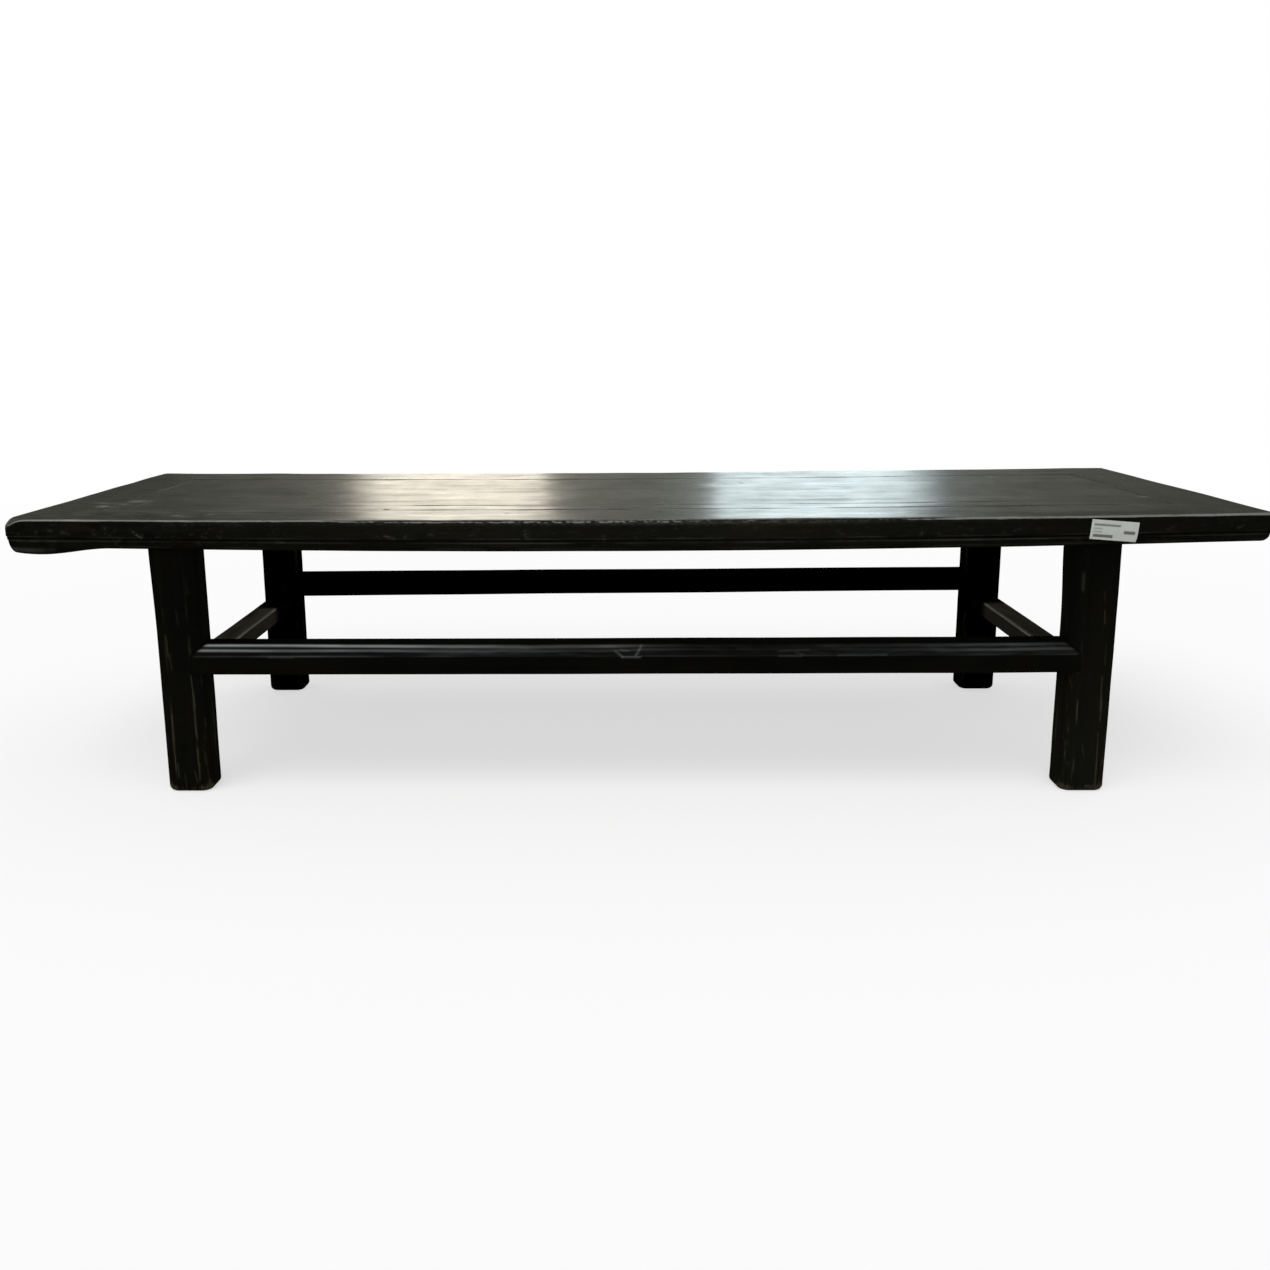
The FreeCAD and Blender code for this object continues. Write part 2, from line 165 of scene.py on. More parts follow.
def make_piece(name, shells, materials, values, pick=0):
    """Puts closed tubes, each an array of rings, into one mesh with outward faces, its values and
    its materials. Values are numbers per point; pick is the material of each strip of the
    section, and both end faces have the first material."""
    points, loops, starts, picks, base, start = [], [], [], [], 0, 0
    for rings in shells:
        corners, quads, caps = tube(rings)
        if volume(corners, quads, caps) < 0:
            quads = quads[:, ::-1]
            caps = [cap[::-1] for cap in caps]
        sizes = np.array([4] * len(quads) + [len(cap) for cap in caps])
        strips = np.broadcast_to(pick, rings.shape[1])
        points.append(corners)
        loops.append(np.concatenate([quads.reshape(-1)] + caps) + base)
        starts.append(start + np.cumsum(sizes) - sizes)
        picks.append(np.concatenate([np.tile(strips, len(rings) - 1), [0, 0]]))
        base += len(corners)
        start += int(sizes.sum())
    points, loops, starts, picks = map(np.concatenate, (points, loops, starts, picks))
    mesh = bpy.data.meshes.new(name)
    mesh.vertices.add(len(points))
    mesh.vertices.foreach_set("co", points.astype(np.float32).ravel())
    mesh.loops.add(len(loops))
    mesh.loops.foreach_set("vertex_index", loops.astype(np.int32))
    mesh.polygons.add(len(starts))
    mesh.polygons.foreach_set("loop_start", starts.astype(np.int32))
    for material in materials:
        mesh.materials.append(material)
    mesh.polygons.foreach_set("material_index", picks.astype(np.int32))
    mesh.update(calc_edges=True)
    mesh.validate()
    mesh.shade_smooth()
    for title, numbers in values.items():
        attribute = mesh.attributes.new(title, "FLOAT", "POINT")
        attribute.data.foreach_set("value", np.asarray(numbers, np.float32).ravel())
    piece = bpy.data.objects.new(name, mesh)
    bpy.context.scene.collection.objects.link(piece)
    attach(piece, "root")
    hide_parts(name)


# Materials

class Wire:
    """A number coming out of a node. Arithmetic on it adds Math nodes."""

    def __init__(self, finish, socket):
        self.finish = finish
        self.socket = socket

    def _math(self, operation, first, second):
        return self.finish.add("ShaderNodeMath", {"operation": operation}, {0: first, 1: second})

    def __add__(self, other):
        return self._math("ADD", self, other)

    def __sub__(self, other):
        return self._math("SUBTRACT", self, other)

    def __mul__(self, other):
        return self._math("MULTIPLY", self, other)

    def __truediv__(self, other):
        return self._math("DIVIDE", self, other)

    def __rsub__(self, other):
        return self._math("SUBTRACT", other, self)

    __radd__ = __add__
    __rmul__ = __mul__

    def clamped(self):
        """The number held between 0 and 1."""
        return self.finish.add("ShaderNodeClamp", {}, {"Value": self})

    def above(self, level, softness):
        """0 below level, 1 above it, over a run of the given softness."""
        return ((self - level) / softness + 0.5).clamped()


class Finish:
    """The nodes of a new material, or of a given world, added one by one."""

    def __init__(self, name, world=None):
        self.material = world or bpy.data.materials.new(name)
        self.material.use_nodes = True
        self.tree = self.material.node_tree
        self.tree.nodes.clear()

    def add(self, kind, settings, sockets, output=0):
        """Adds one node: its settings first, then values or wires for its sockets."""
        node = self.tree.nodes.new(kind)
        for name, value in settings.items():
            setattr(node, name, value)
        for name, value in sockets.items():
            if isinstance(value, Wire):
                self.tree.links.new(value.socket, node.inputs[name])
            else:
                node.inputs[name].default_value = value
        return Wire(self, node.outputs[output]) if node.outputs else None

    def place(self, scale=(1, 1, 1), turn=(0, 0, 0)):
        """Object coordinates, scaled and turned."""
        where = self.add("ShaderNodeTexCoord", {}, {}, "Object")
        sockets = {"Vector": where, "Scale": scale, "Rotation": turn}
        return self.add("ShaderNodeMapping", {"vector_type": "POINT"}, sockets)

    def place_along(self):
        """The place along the table, x."""
        where = self.add("ShaderNodeTexCoord", {}, {}, "Object")
        return self.add("ShaderNodeSeparateXYZ", {}, {"Vector": where}, "X")

    def value(self, title):
        """The number kept on the piece's points under this title."""
        return self.add("ShaderNodeAttribute", {"attribute_name": title}, {}, "Fac")

    def noise(self, where, scale, detail=3.0, roughness=0.55, distortion=0.0):
        """Cloudy noise from 0 to 1 with its middle near 0.5."""
        sockets = {"Vector": where, "Scale": scale, "Detail": detail}
        sockets.update({"Roughness": roughness, "Distortion": distortion})
        return self.add("ShaderNodeTexNoise", {}, sockets, "Fac")

    def blend(self, share, first, second):
        """The colour first, passing into second as share goes from 0 to 1."""
        colours = {0: share, 6: first, 7: second}
        return self.add("ShaderNodeMix", {"data_type": "RGBA"}, colours, 2)

    def bump(self, height, distance, strength=1.0, under=None):
        """A normal bent by a height, over an earlier bend."""
        sockets = {"Height": height, "Distance": distance, "Strength": strength}
        if under:
            sockets["Normal"] = under
        return self.add("ShaderNodeBump", {}, sockets)

    def seen_or_mirrored(self):
        """1 for rays from the camera or by way of a glossy or clear surface, 0 for the light's."""
        kinds = ("Is Camera Ray", "Is Glossy Ray", "Is Transmission Ray")
        rays = [self.add("ShaderNodeLightPath", {}, {}, kind) for kind in kinds]
        return (rays[0] + rays[1] + rays[2]).clamped()

    def mix(self, share, first, second):
        """The shader first, passing into second as share goes from 0 to 1."""
        return self.add("ShaderNodeMixShader", {}, {0: share, 1: first, 2: second})

    def end(self, shader):
        """Ends the material in this shader."""
        self.add("ShaderNodeOutputMaterial", {}, {"Surface": shader})
        return self.material

    def close(self, sockets):
        """Ends the material in one Principled shader."""
        return self.end(self.add("ShaderNodeBsdfPrincipled", {}, sockets))


def grey(level, warmth=0.0):
    """A near-grey colour, warmer where warmth is above 0."""
    return (level * (1 + warmth), level, level * (1 - 1.6 * warmth), 1)


def along(axis, long, across):
    """Scales that draw a pattern out along one axis of the table."""
    return tuple(long if axis == name else across for name in "xyz")


def black_lacquer(name, axis, ground, rubbed, faded_and_highlit, gloss, sheen, coat, relief):
    """Old black lacquer over wood. Green-black passes into brown-black in clouds, with
    lengthwise grain and open pores. Rubbed wood shows in flecks where the worn_and_highlit value
    is high, and on the arrises this pale also stands for a painted highlight. The faded_and_highlit
    value thins the lacquer evenly towards a pale colour, for fading and for painted highlights and
    sheen. The joint_and_shade value darkens it, for dark joints and for painted shade, and the dull
    value takes away the clear coat, which lies in streaks and patches, or adds to it below 0."""
    finish = Finish(name)
    coarse = finish.noise(finish.place(along(axis, 5, 110)), 1, 4, 0.6, 0.3)
    fine = finish.noise(finish.place(along(axis, 22, 620)), 1, 3, 0.65)
    clouds = finish.noise(finish.place(along(axis, 6, 14)), 1, 4, 0.6)
    hue = finish.noise(finish.place(along(axis, 11, 26)), 1, 4, 0.6).above(0.53, 0.16)
    specks = finish.noise(finish.place(), 900, 2, 0.7)
    pores = finish.noise(finish.place(along(axis, 34, 1300)), 1, 2, 0.6).above(0.66, 0.1)
    broken = finish.noise(finish.place(along(axis, 45, 260)), 1, 5, 0.7)
    joint_and_shade = finish.value("joint_and_shade")
    bare = (finish.value("worn_and_highlit") * 0.95 + broken * 1.3).above(1.22, 0.3)
    thin = (coarse * 0.5 + fine * 0.35 + clouds * 0.6 + specks * 0.2).above(0.84, 0.55)
    green = (ground * 0.86, ground, ground * 0.76, 1)
    brown = (ground * 1.36, ground * 1.08, ground * 0.66, 1)
    deep = (ground * 0.36, ground * 0.36, ground * 0.24, 1)
    colour = finish.blend(thin * 0.8, deep, finish.blend(hue, green, brown))
    thinned = finish.value("faded_and_highlit") * (0.55 + clouds * 0.5 + fine * 0.4)
    colour = finish.blend(thinned.clamped(), colour, faded_and_highlit)
    colour = finish.blend(bare, colour, rubbed)
    dark = (pores * 0.5 + joint_and_shade).clamped()
    colour = finish.blend(dark, colour, grey(ground * 0.2, 0.1))
    rough = gloss + (coarse - 0.5) * 0.16 + (clouds - 0.5) * 0.22 + bare * 0.22 + joint_and_shade * 0.3
    bend = finish.bump(coarse * 0.7 + clouds * 0.3, 0.25 * MM * relief)
    bend = finish.bump(fine - pores * 0.8, 0.05 * MM * relief, under=bend)
    streaks = finish.noise(finish.place(along(axis, 6, 36)), 1, 4, 0.62, 0.8)
    patches = finish.noise(finish.place((9, 7, 9)), 1, 4, 0.6)
    blotches = finish.noise(finish.place((30, 12, 30)), 1, 4, 0.62)
    shine = coat * (1 + (streaks - 0.5) * 1.9 + (patches - 0.5) * 1.7 + (blotches - 0.5) * 1.5)
    crackle = finish.noise(finish.place(along(axis, 90, 150)), 1, 3, 0.6).above(0.5, 0.3)
    shine = shine - finish.value("dull") * coat * (0.55 + crackle * 0.9)
    return finish.close({
        "Base Color": colour,
        "Roughness": rough.clamped(),
        "Normal": bend,
        "IOR": 1.5,
        "Specular IOR Level": sheen,
        "Coat Weight": (shine * (1 - joint_and_shade.clamped())).clamped(),
        "Coat Roughness": gloss - 0.06,
    })


def dry_wood(name, axis, dark, light, rough, sheen=0.2):
    """Bare or thinly stained wood: dark and light growth lines drawn out along the grain."""
    finish = Finish(name)
    lines = finish.noise(finish.place(along(axis, 3, 95)), 1, 5, 0.6, 0.6)
    fibres = finish.noise(finish.place(along(axis, 20, 900)), 1, 3, 0.6)
    dust = finish.noise(finish.place(), 14, 4, 0.6)
    share = (lines * 1.4 + fibres * 0.5 + dust * 0.5 - 0.7).clamped()
    joint_and_shade = finish.value("joint_and_shade").clamped()
    colour = finish.blend(joint_and_shade, finish.blend(share, dark, light), grey(0.006))
    return finish.close({
        "Base Color": colour,
        "Roughness": (rough + (dust - 0.5) * 0.2).clamped(),
        "Normal": finish.bump(fibres + lines, 0.15 * MM),
        "Specular IOR Level": sheen,
    })


def label_paper(name):
    """Off-white paper with plain grey bars; across runs from 0 to 1, up from 0 to 1."""
    finish = Finish(name)
    across = finish.value("across")
    up = finish.value("up")
    bars = 0
    for left, right, low, high, depth in label_bars:
        inside = across.above(left, 0.02) - across.above(right, 0.02)
        inside = inside * (up.above(low, 0.05) - up.above(high, 0.05))
        bars = bars + inside * depth
    fibre = finish.noise(finish.place(), 1500, 3, 0.6)
    soil = finish.noise(finish.place(), 55, 4, 0.6)
    paper = finish.blend((soil * 1.3 - 0.2).clamped(), (0.45, 0.475, 0.445, 1), (0.35, 0.37, 0.335, 1))
    colour = finish.blend((bars * (0.75 + fibre * 0.5)).clamped(), paper, grey(0.09))
    return finish.close({
        "Base Color": colour,
        "Roughness": 0.55 + fibre * 0.1,
        "Normal": finish.bump(fibre, 0.03 * MM),
        "Specular IOR Level": 0.3,
    })


# Bars on the label: left and right, low and high as shares of the sheet, and how dark
label_bars = (
    (0.06, 0.62, 0.70, 0.80, 0.85),
    (0.05, 0.24, 0.52, 0.59, 0.5),
    (0.05, 0.24, 0.36, 0.43, 0.5),
    (0.06, 0.48, 0.12, 0.27, 1.0),
    (0.70, 0.94, 0.36, 0.52, 1.0),
)

# Colours of rubbed and faded lacquer. On the top, the front edge, the beads and the side stretchers the
# pale ones also stand for painted highlights and painted sheen.
rubbed_and_highlit_top = (0.125, 0.128, 0.112, 1)
rubbed_and_highlit_edge = (0.15, 0.155, 0.14, 1)
rubbed_stand = (0.03, 0.0265, 0.016, 1)
rubbed_and_highlit_rung = (0.26, 0.25, 0.21, 1)
rubbed_beads = (0.118, 0.125, 0.121, 1)
faded_and_highlit_top = (0.2, 0.205, 0.18, 1)
faded_and_highlit_edge = (0.05, 0.0492, 0.0415, 1)
faded_stand = (0.074, 0.068, 0.045, 1)
faded_and_highlit_beads = (0.255, 0.28, 0.276, 1)
faded_and_sheen_rung = (0.125, 0.118, 0.088, 1)
top_finish = {
    axis: black_lacquer("worn_and_highlit_black_lacquer_top_" + axis, axis, 0.012, rubbed_and_highlit_top, faded_and_highlit_top,
                        0.3, 0.24, coat, 1.0)
    for axis, coat in (("x", 0.51), ("y", 0.36))
}
edge_finish = {
    axis: black_lacquer("worn_black_lacquer_edge_" + axis, axis, 0.0078, rubbed_and_highlit_edge, faded_and_highlit_edge,
                        0.4, 0.0, 0.012, 1.0)
    for axis in "xy"
}
leg_finish = black_lacquer("worn_black_lacquer_legs", "z", 0.0042, rubbed_stand, faded_stand,
                           0.5, 0.0, 0.008, 1.3)
rung_finish = black_lacquer("black_lacquer_side_stretchers_with_painted_light", "y", 0.0056, rubbed_and_highlit_rung,
                            faded_and_sheen_rung, 0.5, 0.0, 0.008, 1.3)
bead_finish = black_lacquer("black_lacquer_long_stretchers_with_painted_light", "x", 0.0042, rubbed_beads,
                            faded_and_highlit_beads, 0.42, 0.0, 0.006, 1.0)
# A far darker copy of the lacquer for the inward faces of the back legs and of the back stretcher: painted
# shade.
painted_shade_finish = black_lacquer("painted_shade_black_lacquer", "z", 0.0006, rubbed_stand, faded_stand,
                              0.5, 0.0, 0.0, 1.3)
under_wood = {
    axis: dry_wood("stained_underside_" + axis, axis, (0.016, 0.011, 0.007, 1),
                   (0.06, 0.042, 0.027, 1), 0.75)
    for axis in "xy"
}
peg_wood = dry_wood("dark_peg_wood", "z", (0.0016, 0.0012, 0.0008, 1),
                    (0.005, 0.0036, 0.0024, 1), 0.8, 0.0)
paper = label_paper("blank_label_paper")


# The top's shape: its bow, its nicks and its worn front edge

end_top_drop = 0.9 * MM
bow_top_drop = 3.9 * MM
bow_bottom_drop = 6.3 * MM
end_bottom_rise = 2.9 * MM
swell_middle = -738 * MM
swell_reach = 92 * MM
swell_depth = 70 * MM
swell_drop = 9.4 * MM
swell_top = 334 * MM
tip_reach = 14 * MM
tip_drop = 8.5 * MM


def settled(x, y, z):
    """Height of a point of the top once it has sagged and worn: between the underside and
    the top face heights run evenly, the top face hangs lower in the middle, the underside is
    lower in the middle and higher at the ends, and swells at the front left corner, whose
    upper tip is worn round."""
    reach = (x / half_length) ** 2
    top = top_height - end_top_drop - bow_top_drop * (1 - reach)
    bottom = frame_bottom - bow_bottom_drop + (bow_bottom_drop + end_bottom_rise) * reach
    share = (z - frame_bottom) / (top_height - frame_bottom)
    swell = 0.5 + 0.5 * np.cos(np.clip((x - swell_middle) / swell_reach, -1, 1) * math.pi)
    low = 1 - ease(z, frame_bottom - 1 * MM, swell_top)
    swell = swell_drop * swell * hump(y + half_depth, swell_depth) * low
    from_tip = np.hypot(x + half_length, y + half_depth)
    tip = tip_drop * hump(from_tip, tip_reach) * ease(z, swell_top, top_height)
    return bottom + (top - bottom) * share - swell - tip


# Nicks in the top: x, y, length, width, depth and heading in degrees
nicks = (
    (-321, -177, 7, 9, 1.2, 20),
    (-282, -121, 22, 3, 0.5, -68),
    (-383, 267, 14, 6, 0.5, 0),
    (-326, 198, 9, 5, 0.5, 10),
    (-265, 99, 12, 6, 0.5, 0),
    (-244, 138, 9, 7, 0.4, 0),
    (-157, -221, 7, 6, 0.6, 0),
    (168, 112, 4, 26, 0.8, 8),
    (320, 40, 16, 5, 0.4, 15),
    (455, -151, 8, 5, 0.5, -30),
    (-520, 60, 10, 6, 0.5, 30),
    (610, 130, 12, 5, 0.5, 60),
    (30, -60, 18, 3, 0.3, 5),
    (-90, 160, 26, 3, 0.3, -4),
)

# Chips along the front arris: x, length and depth
chips = (
    (-515, 120, 1.3), (590, 330, 1.3), (-776, 18, 3.6),
    (-712, 5, 0.7), (-655, 8, 0.6), (-588, 6, 0.7), (-512, 10, 0.6),
    (-452, 5, 0.8), (-401, 7, 0.6), (-368, 4, 0.9), (-318, 10, 0.8), (-262, 6, 0.7),
    (-214, 5, 0.8), (-151, 8, 0.6), (-96, 4, 1.0), (-72, 5, 0.8), (-44, 4, 1.6),
    (-14, 5, 1.6), (9, 3, 1.0), (36, 4, 0.9), (66, 5, 0.9), (92, 4, 0.8), (118, 6, 0.6),
    (189, 9, 0.8), (262, 5, 0.9), (331, 8, 0.6), (407, 6, 0.9), (474, 5, 0.7),
    (531, 9, 0.6), (655, 6, 0.8), (702, 10, 0.7), (765, 8, 1.0),
)

# Pale marks on the top, two of them painted highlights along the joint of the left end rail, and dull
# streaks in its gloss: as the nicks, with strengths for depths
pale_marks_and_highlights = (
    (-699, -152, 15, 26, 0.8, 60),
    (-684, -128, 10, 24, 0.6, 60),
    (-676, -97, 24, 22, 0.7, 30),
    (-715, -118, 12, 30, 0.4, 60),
    (-657, -112, 4, 70, 0.35, 0),
    # Two thin pale lines along the joint of the left end rail and the panel: painted highlights.
    (-689, 60, 3.5, 130, 0.6, -2),
    (-690, 150, 3.5, 70, 0.45, -2),
    (-610, -206, 60, 5, 0.4, -2),
    (-520, -196, 120, 5, 0.35, -2),
    (-470, -224, 70, 5, 0.35, -1),
    (-572, -236, 9, 12, 0.7, 0),
    (-532, -229, 7, 12, 0.7, 0),
    (-377, -196, 7, 9, 0.7, 10),
    (-430, -187, 200, 4, 0.25, -1),
    (-560, -247, 24, 5, 0.5, 3),
    (561, 159, 10, 16, 0.5, 0),
    (722, 142, 9, 13, 0.35, 0),
    (683, -109, 12, 14, 0.5, 20),
    (534, -96, 8, 9, 0.4, 0),
    (640, -190, 30, 7, 0.3, -20),
)
dull_streaks = (
    (-570, -260, 380, 44, 0.85, 0),
    (560, -262, 360, 42, 1.15, 0),
    (-590, -238, 50, 26, 0.6, 0),
    (-470, -216, 40, 46, 0.6, 20),
    (-402, -214, 50, 50, 0.55, -30),
    (-432, -184, 34, 22, 0.4, 0),
    (-350, -98, 110, 16, 0.45, -2),
    (-105, -84, 120, 15, 0.4, -2),
    (-120, -146, 90, 26, 0.35, -2),
    (60, -235, 170, 70, 0.22, 0),
    (600, 60, 300, 330, 0.12, 0),
    (270, -97, 210, 22, 1.0, -1),
    (255, -185, 340, 9, 1.1, 0),
    (230, 184, 300, 7, 0.6, 0),
    (-200, 184, 340, 6, 0.5, 0),
    (350, -232, 80, 40, 0.6, 0),
    (-300, -108, 130, 34, 0.45, -2),
    (-290, -157, 190, 16, -0.4, -1),
    (-405, -224, 70, 34, 0.7, -5),
    (-372, -238, 40, 22, 0.6, 0),
    (380, -225, 60, 60, 0.9, 0),
    (440, -185, 60, 22, 0.7, -4),
    (470, -92, 130, 26, -0.3, 2),
    (-715, -130, 40, 40, 0.5, 60),
    (-745, -60, 18, 60, 0.5, 0),
    (-222, -77, 250, 24, 0.4, -2.7),
    (-163, 53, 120, 20, 0.35, -2),
    (-238, -93, 240, 13, 0.4, -2.6),
    (-159, 9, 86, 15, 0.35, -2),
    (-238, -182, 170, 8, 0.55, -2.4),
    (-560, -204, 210, 7, 0.5, -2),
    (-500, -236, 240, 8, 0.5, -2),
    (-728, -201, 26, 12, 0.6, 10),
    (-470, -160, 180, 16, 0.35, -2),
    (-540, 40, 160, 60, 0.3, 5),
    (146, -169, 140, 8, 0.65, -2.5),
    (220, 20, 240, 26, 0.3, 1),
    (300, -60, 150, 18, 0.3, -3),
    (390, -165, 60, 60, 0.45, 0),
    (430, -30, 90, 90, 0.3, 0),
    (520, -205, 160, 9, 0.5, -2),
    (600, -150, 120, 16, 0.4, -4),
    (20, -100, 160, 14, 0.3, -2),
    (255, -236, 210, 26, -0.45, -1),
    (-215, -228, 190, 22, -0.3, -1),
    (-120, 215, 150, 30, -0.35, 0),
    (180, 205, 170, 30, -0.3, 0),
    (0, 120, 190, 30, 0.3, 2),
)


def ovals(x, y, marks):
    """A sum of turned oval humps: each mark's fifth number at its middle, fading to all sides."""
    total = 0
    for place_x, place_y, length, width, strength, heading in marks:
        turn = math.radians(heading)
        ahead = (x - place_x * MM) * math.cos(turn) + (y - place_y * MM) * math.sin(turn)
        aside = (y - place_y * MM) * math.cos(turn) - (x - place_x * MM) * math.sin(turn)
        total = total + strength * hump(ahead, length * MM / 2) * hump(aside, width * MM / 2)
    return total


def chipped(x):
    """Depth of the chips along the front arris at x: a sum of humps."""
    total = 0
    for place, length, depth in chips:
        total = total + depth * MM * hump(x - place * MM, length * MM / 2)
    return total


def top_relief(x, y, long, aside, seed):
    """Unevenness of a planed top face: broad hollows, shallow waves along the wood and nicks."""
    broad = 0.16 * MM * ripple(x, y, 260 * MM, 120 * MM, seed)
    planed = 0.24 * MM * ripple(long, aside, 80 * MM, 46 * MM, seed + 2)
    waves = 0.018 * MM * ripple(long, aside, 120 * MM, 17 * MM, seed + 1)
    return broad + planed + waves - MM * ovals(x, y, nicks)


# Scuffs on the front edge: both ends, thickness and strength, below 0 for dark ones
fascia_scuffs = (
    (-130, 344.5, -128, 341.5, 2.8, 0.8),
    (-134.5, 338.5, -131, 335.5, 1.6, -1.1),
    (-733, 343, -734, 341, 1.5, 0.6),
    (-717, 346, -715, 343, 1.6, 0.4),
    (-647, 350, -648, 342, 0.9, 0.4),
    (-573, 353.5, -546, 353.9, 1.0, 0.26),
    (-541, 354.1, -512, 353.7, 1.1, 0.32),
    (-506, 353.5, -480, 353.9, 0.9, 0.22),
    (-614, 345, -603, 336, 0.8, 0.5),
    (-303, 341, -291, 337, 1.3, 0.6),
    (-276, 341, -279, 338, 1.4, 0.35),
    (-250, 343, -244, 342, 1.8, 0.3),
    (-612, 344, -606, 338, 1.2, 0.5),
    (-602, 341, -604, 336, 1.2, 0.45),
    (-662, 346, -661, 341, 2.0, 0.25),
    (-700, 343, -693, 340, 2.6, 0.3),
    (-528, 341, -524, 337, 1.4, 0.4),
    (-505, 340, -507, 336, 1.3, 0.35),
    (-34, 341, -35, 334, 1.5, 0.4),
    (4, 339, 6, 335, 1.4, 0.35),
    (250, 344, 256, 341, 1.6, 0.3),
    (352, 342, 349, 337, 1.5, 0.35),
    (470, 345, 462, 342, 1.3, 0.3),
    (655, 346, 649, 340, 1.4, 0.35),
    (735, 344, 730, 341, 1.6, 0.3),
)


# Wear and painted highlight along the front arris: x; then how far below the top face its pale
# line runs, how pale it is, how dark the line above it is, and how far it is broken into specks
arris_wear_and_highlight = (
    (-775, -620, -545, -380, -335, -200, -90, 20, 90, 170, 265, 350, 400, 560, 775),
    (0.9, 1.0, 1.5, 1.2, 2.4, 2.8, 2.9, 2.7, 2.6, 2.6, 2.6, 2.4, 2.1, 2.1, 1.8),
    (1.0, 1.15, 1.2, 1.1, 0.95, 1.15, 1.15, 1.1, 0.9, 0.6, 0.5, 0.8, 1.3, 1.5, 1.6),
    (0, 0, 0, 0.1, 0.5, 0.7, 0.6, 0.25, 0.3, 0.5, 0.7, 0.6, 0, 0, 0),
    (0, 0, 0.1, 0.1, 0.3, 0.3, 0.7, 1, 1, 0.9, 0.6, 0.2, 0.1, 0, 0),
)


def mitre_reach(inset, half, width, other_width):
    """How far a rail runs at an inset from its outer face: round the corner's arc, then along
    the mitre at 45 degrees through the moulding, then straight to the inner corner."""
    arc = half - corner_round + (corner_round - inset) * math.sqrt(0.5)
    through = half - inset
    slope = (other_width - moulding_inset) / (width - moulding_inset)
    inner = half - moulding_inset - (inset - moulding_inset) * slope
    reach = np.where(inset < corner_round, arc, through)
    return np.where(inset > moulding_inset, inner, reach)


def outer_line(run, half, other_half, inset):
    """Distance of the outline from the table's middle where it runs along one side: the straight
    side, bent round the corner's arc near its end."""
    radius = np.maximum(corner_round - inset, 0)
    past = np.clip(np.abs(run) - (half - corner_round), 0, None)
    arc = other_half - corner_round + np.sqrt(np.maximum(radius ** 2 - past ** 2, 0))
    return np.where((inset < corner_round) & (past > 0), arc, other_half - inset)


def quarter_round(edge, radius, turn):
    """Section rows over a quarter round between an edge and the top face: turn is 0 on the side
    and a right angle on the top face, and the round lies below the edge's place where the
    radius is below 0."""
    aside = edge + radius * (1 - np.cos(turn))
    return list(zip(aside, top_height - abs(radius) * (1 - np.sin(turn))))


def rail_section(width):
    """Section of a rail as rows of inset and height: from the inner foot up and over the top face
    to the outer arris, down the flat face and the lower round, and back below."""
    quarter = np.linspace(0, math.pi / 2, 6)
    rows = [(width, frame_bottom), (width, frame_bottom + 15 * MM), (width, top_height - 6 * MM)]
    rows += quarter_round(width - 0.3 * MM, -1.4 * MM, quarter[:-1])
    flat_top = np.linspace(width - 1.6 * MM, 3.4 * MM, round((width - 5 * MM) / (3.3 * MM)) + 1)
    rows += [(inset, top_height) for inset in flat_top]
    rows += quarter_round(0, 2.5 * MM, quarter[::-1])
    rows += [(0, z) for z in np.linspace(top_height - 3.3 * MM, fascia_foot + 0.9 * MM, 18)]
    ledge = ((0.05, 0.4), (0.4, 0), (1.1, -0.15), (1.1, -0.8), (1.1, -1.5), (1.1, -2.2),
             (1.1, -2.9), (1.1, -3.7), (1.15, -4.5), (1.5, -5), (2.2, -5.15))
    rows += [(inset * MM, fascia_foot + rise * MM) for inset, rise in ledge]
    turn = np.linspace(0, math.pi / 2, 11)[1:]
    rows += list(zip(2.2 * MM + 12.5 * MM * (1 - np.cos(turn)),
                     frame_bottom + 12 * MM * (1 - np.sin(turn))))
    rows += [(inset, frame_bottom) for inset in np.linspace(19 * MM, width - 1 * MM, 9)]
    return np.array(rows)


def line_left(run, seed, which):
    """How much of a rubbed line is left along a rail: slow and quick waves held within 0 and 1."""
    left = 0.42 + 0.42 * ripple(run, run * 0, 70 * MM, 1, seed + 11 + which)
    left = (left + 0.1 * ripple(run, run * 0, 14 * MM, 1, seed + 15)).clip(0, 1)
    return (1.35 * left - 0.12).clip(0, 1)


def fascia_marks(x, height, seed):
    """Pale and dark marks on the front edge: a mottle and specks, strongest at the left end, a
    faint pale haze in the middle, which is a painted reflection, and the scuffs, each a stroke
    broken up by a fine ripple."""
    handled = 1 - 0.62 * ease(x, -620 * MM, -390 * MM)
    mottle = (0.2 + 0.8 * ripple(x, height, 17 * MM, 8 * MM, seed + 17)).clip(0, 1)
    specks = (ripple(x, height, 8 * MM, 3.6 * MM, seed + 18) - 1).clip(0, 1)
    broken = (0.75 + 0.8 * ripple(x, height, 4 * MM, 2.4 * MM, seed + 16)).clip(0, 1.4)
    # The faint pale hump in the middle of the front edge is a painted reflection.
    pale = 0.4 * specks * handled + 0.034 * hump(x - 60 * MM, 380 * MM)
    dark = 0.45 * mottle * handled
    for start_x, start_z, end_x, end_z, thick, strength in fascia_scuffs:
        start, end = (start_x * MM, start_z * MM), (end_x * MM, end_z * MM)
        line = stroke(x, height, start, end, thick * MM) * broken
        pale = pale + 0.75 * max(strength, 0) * line
        dark = dark - min(strength, 0) * line
    return pale, dark


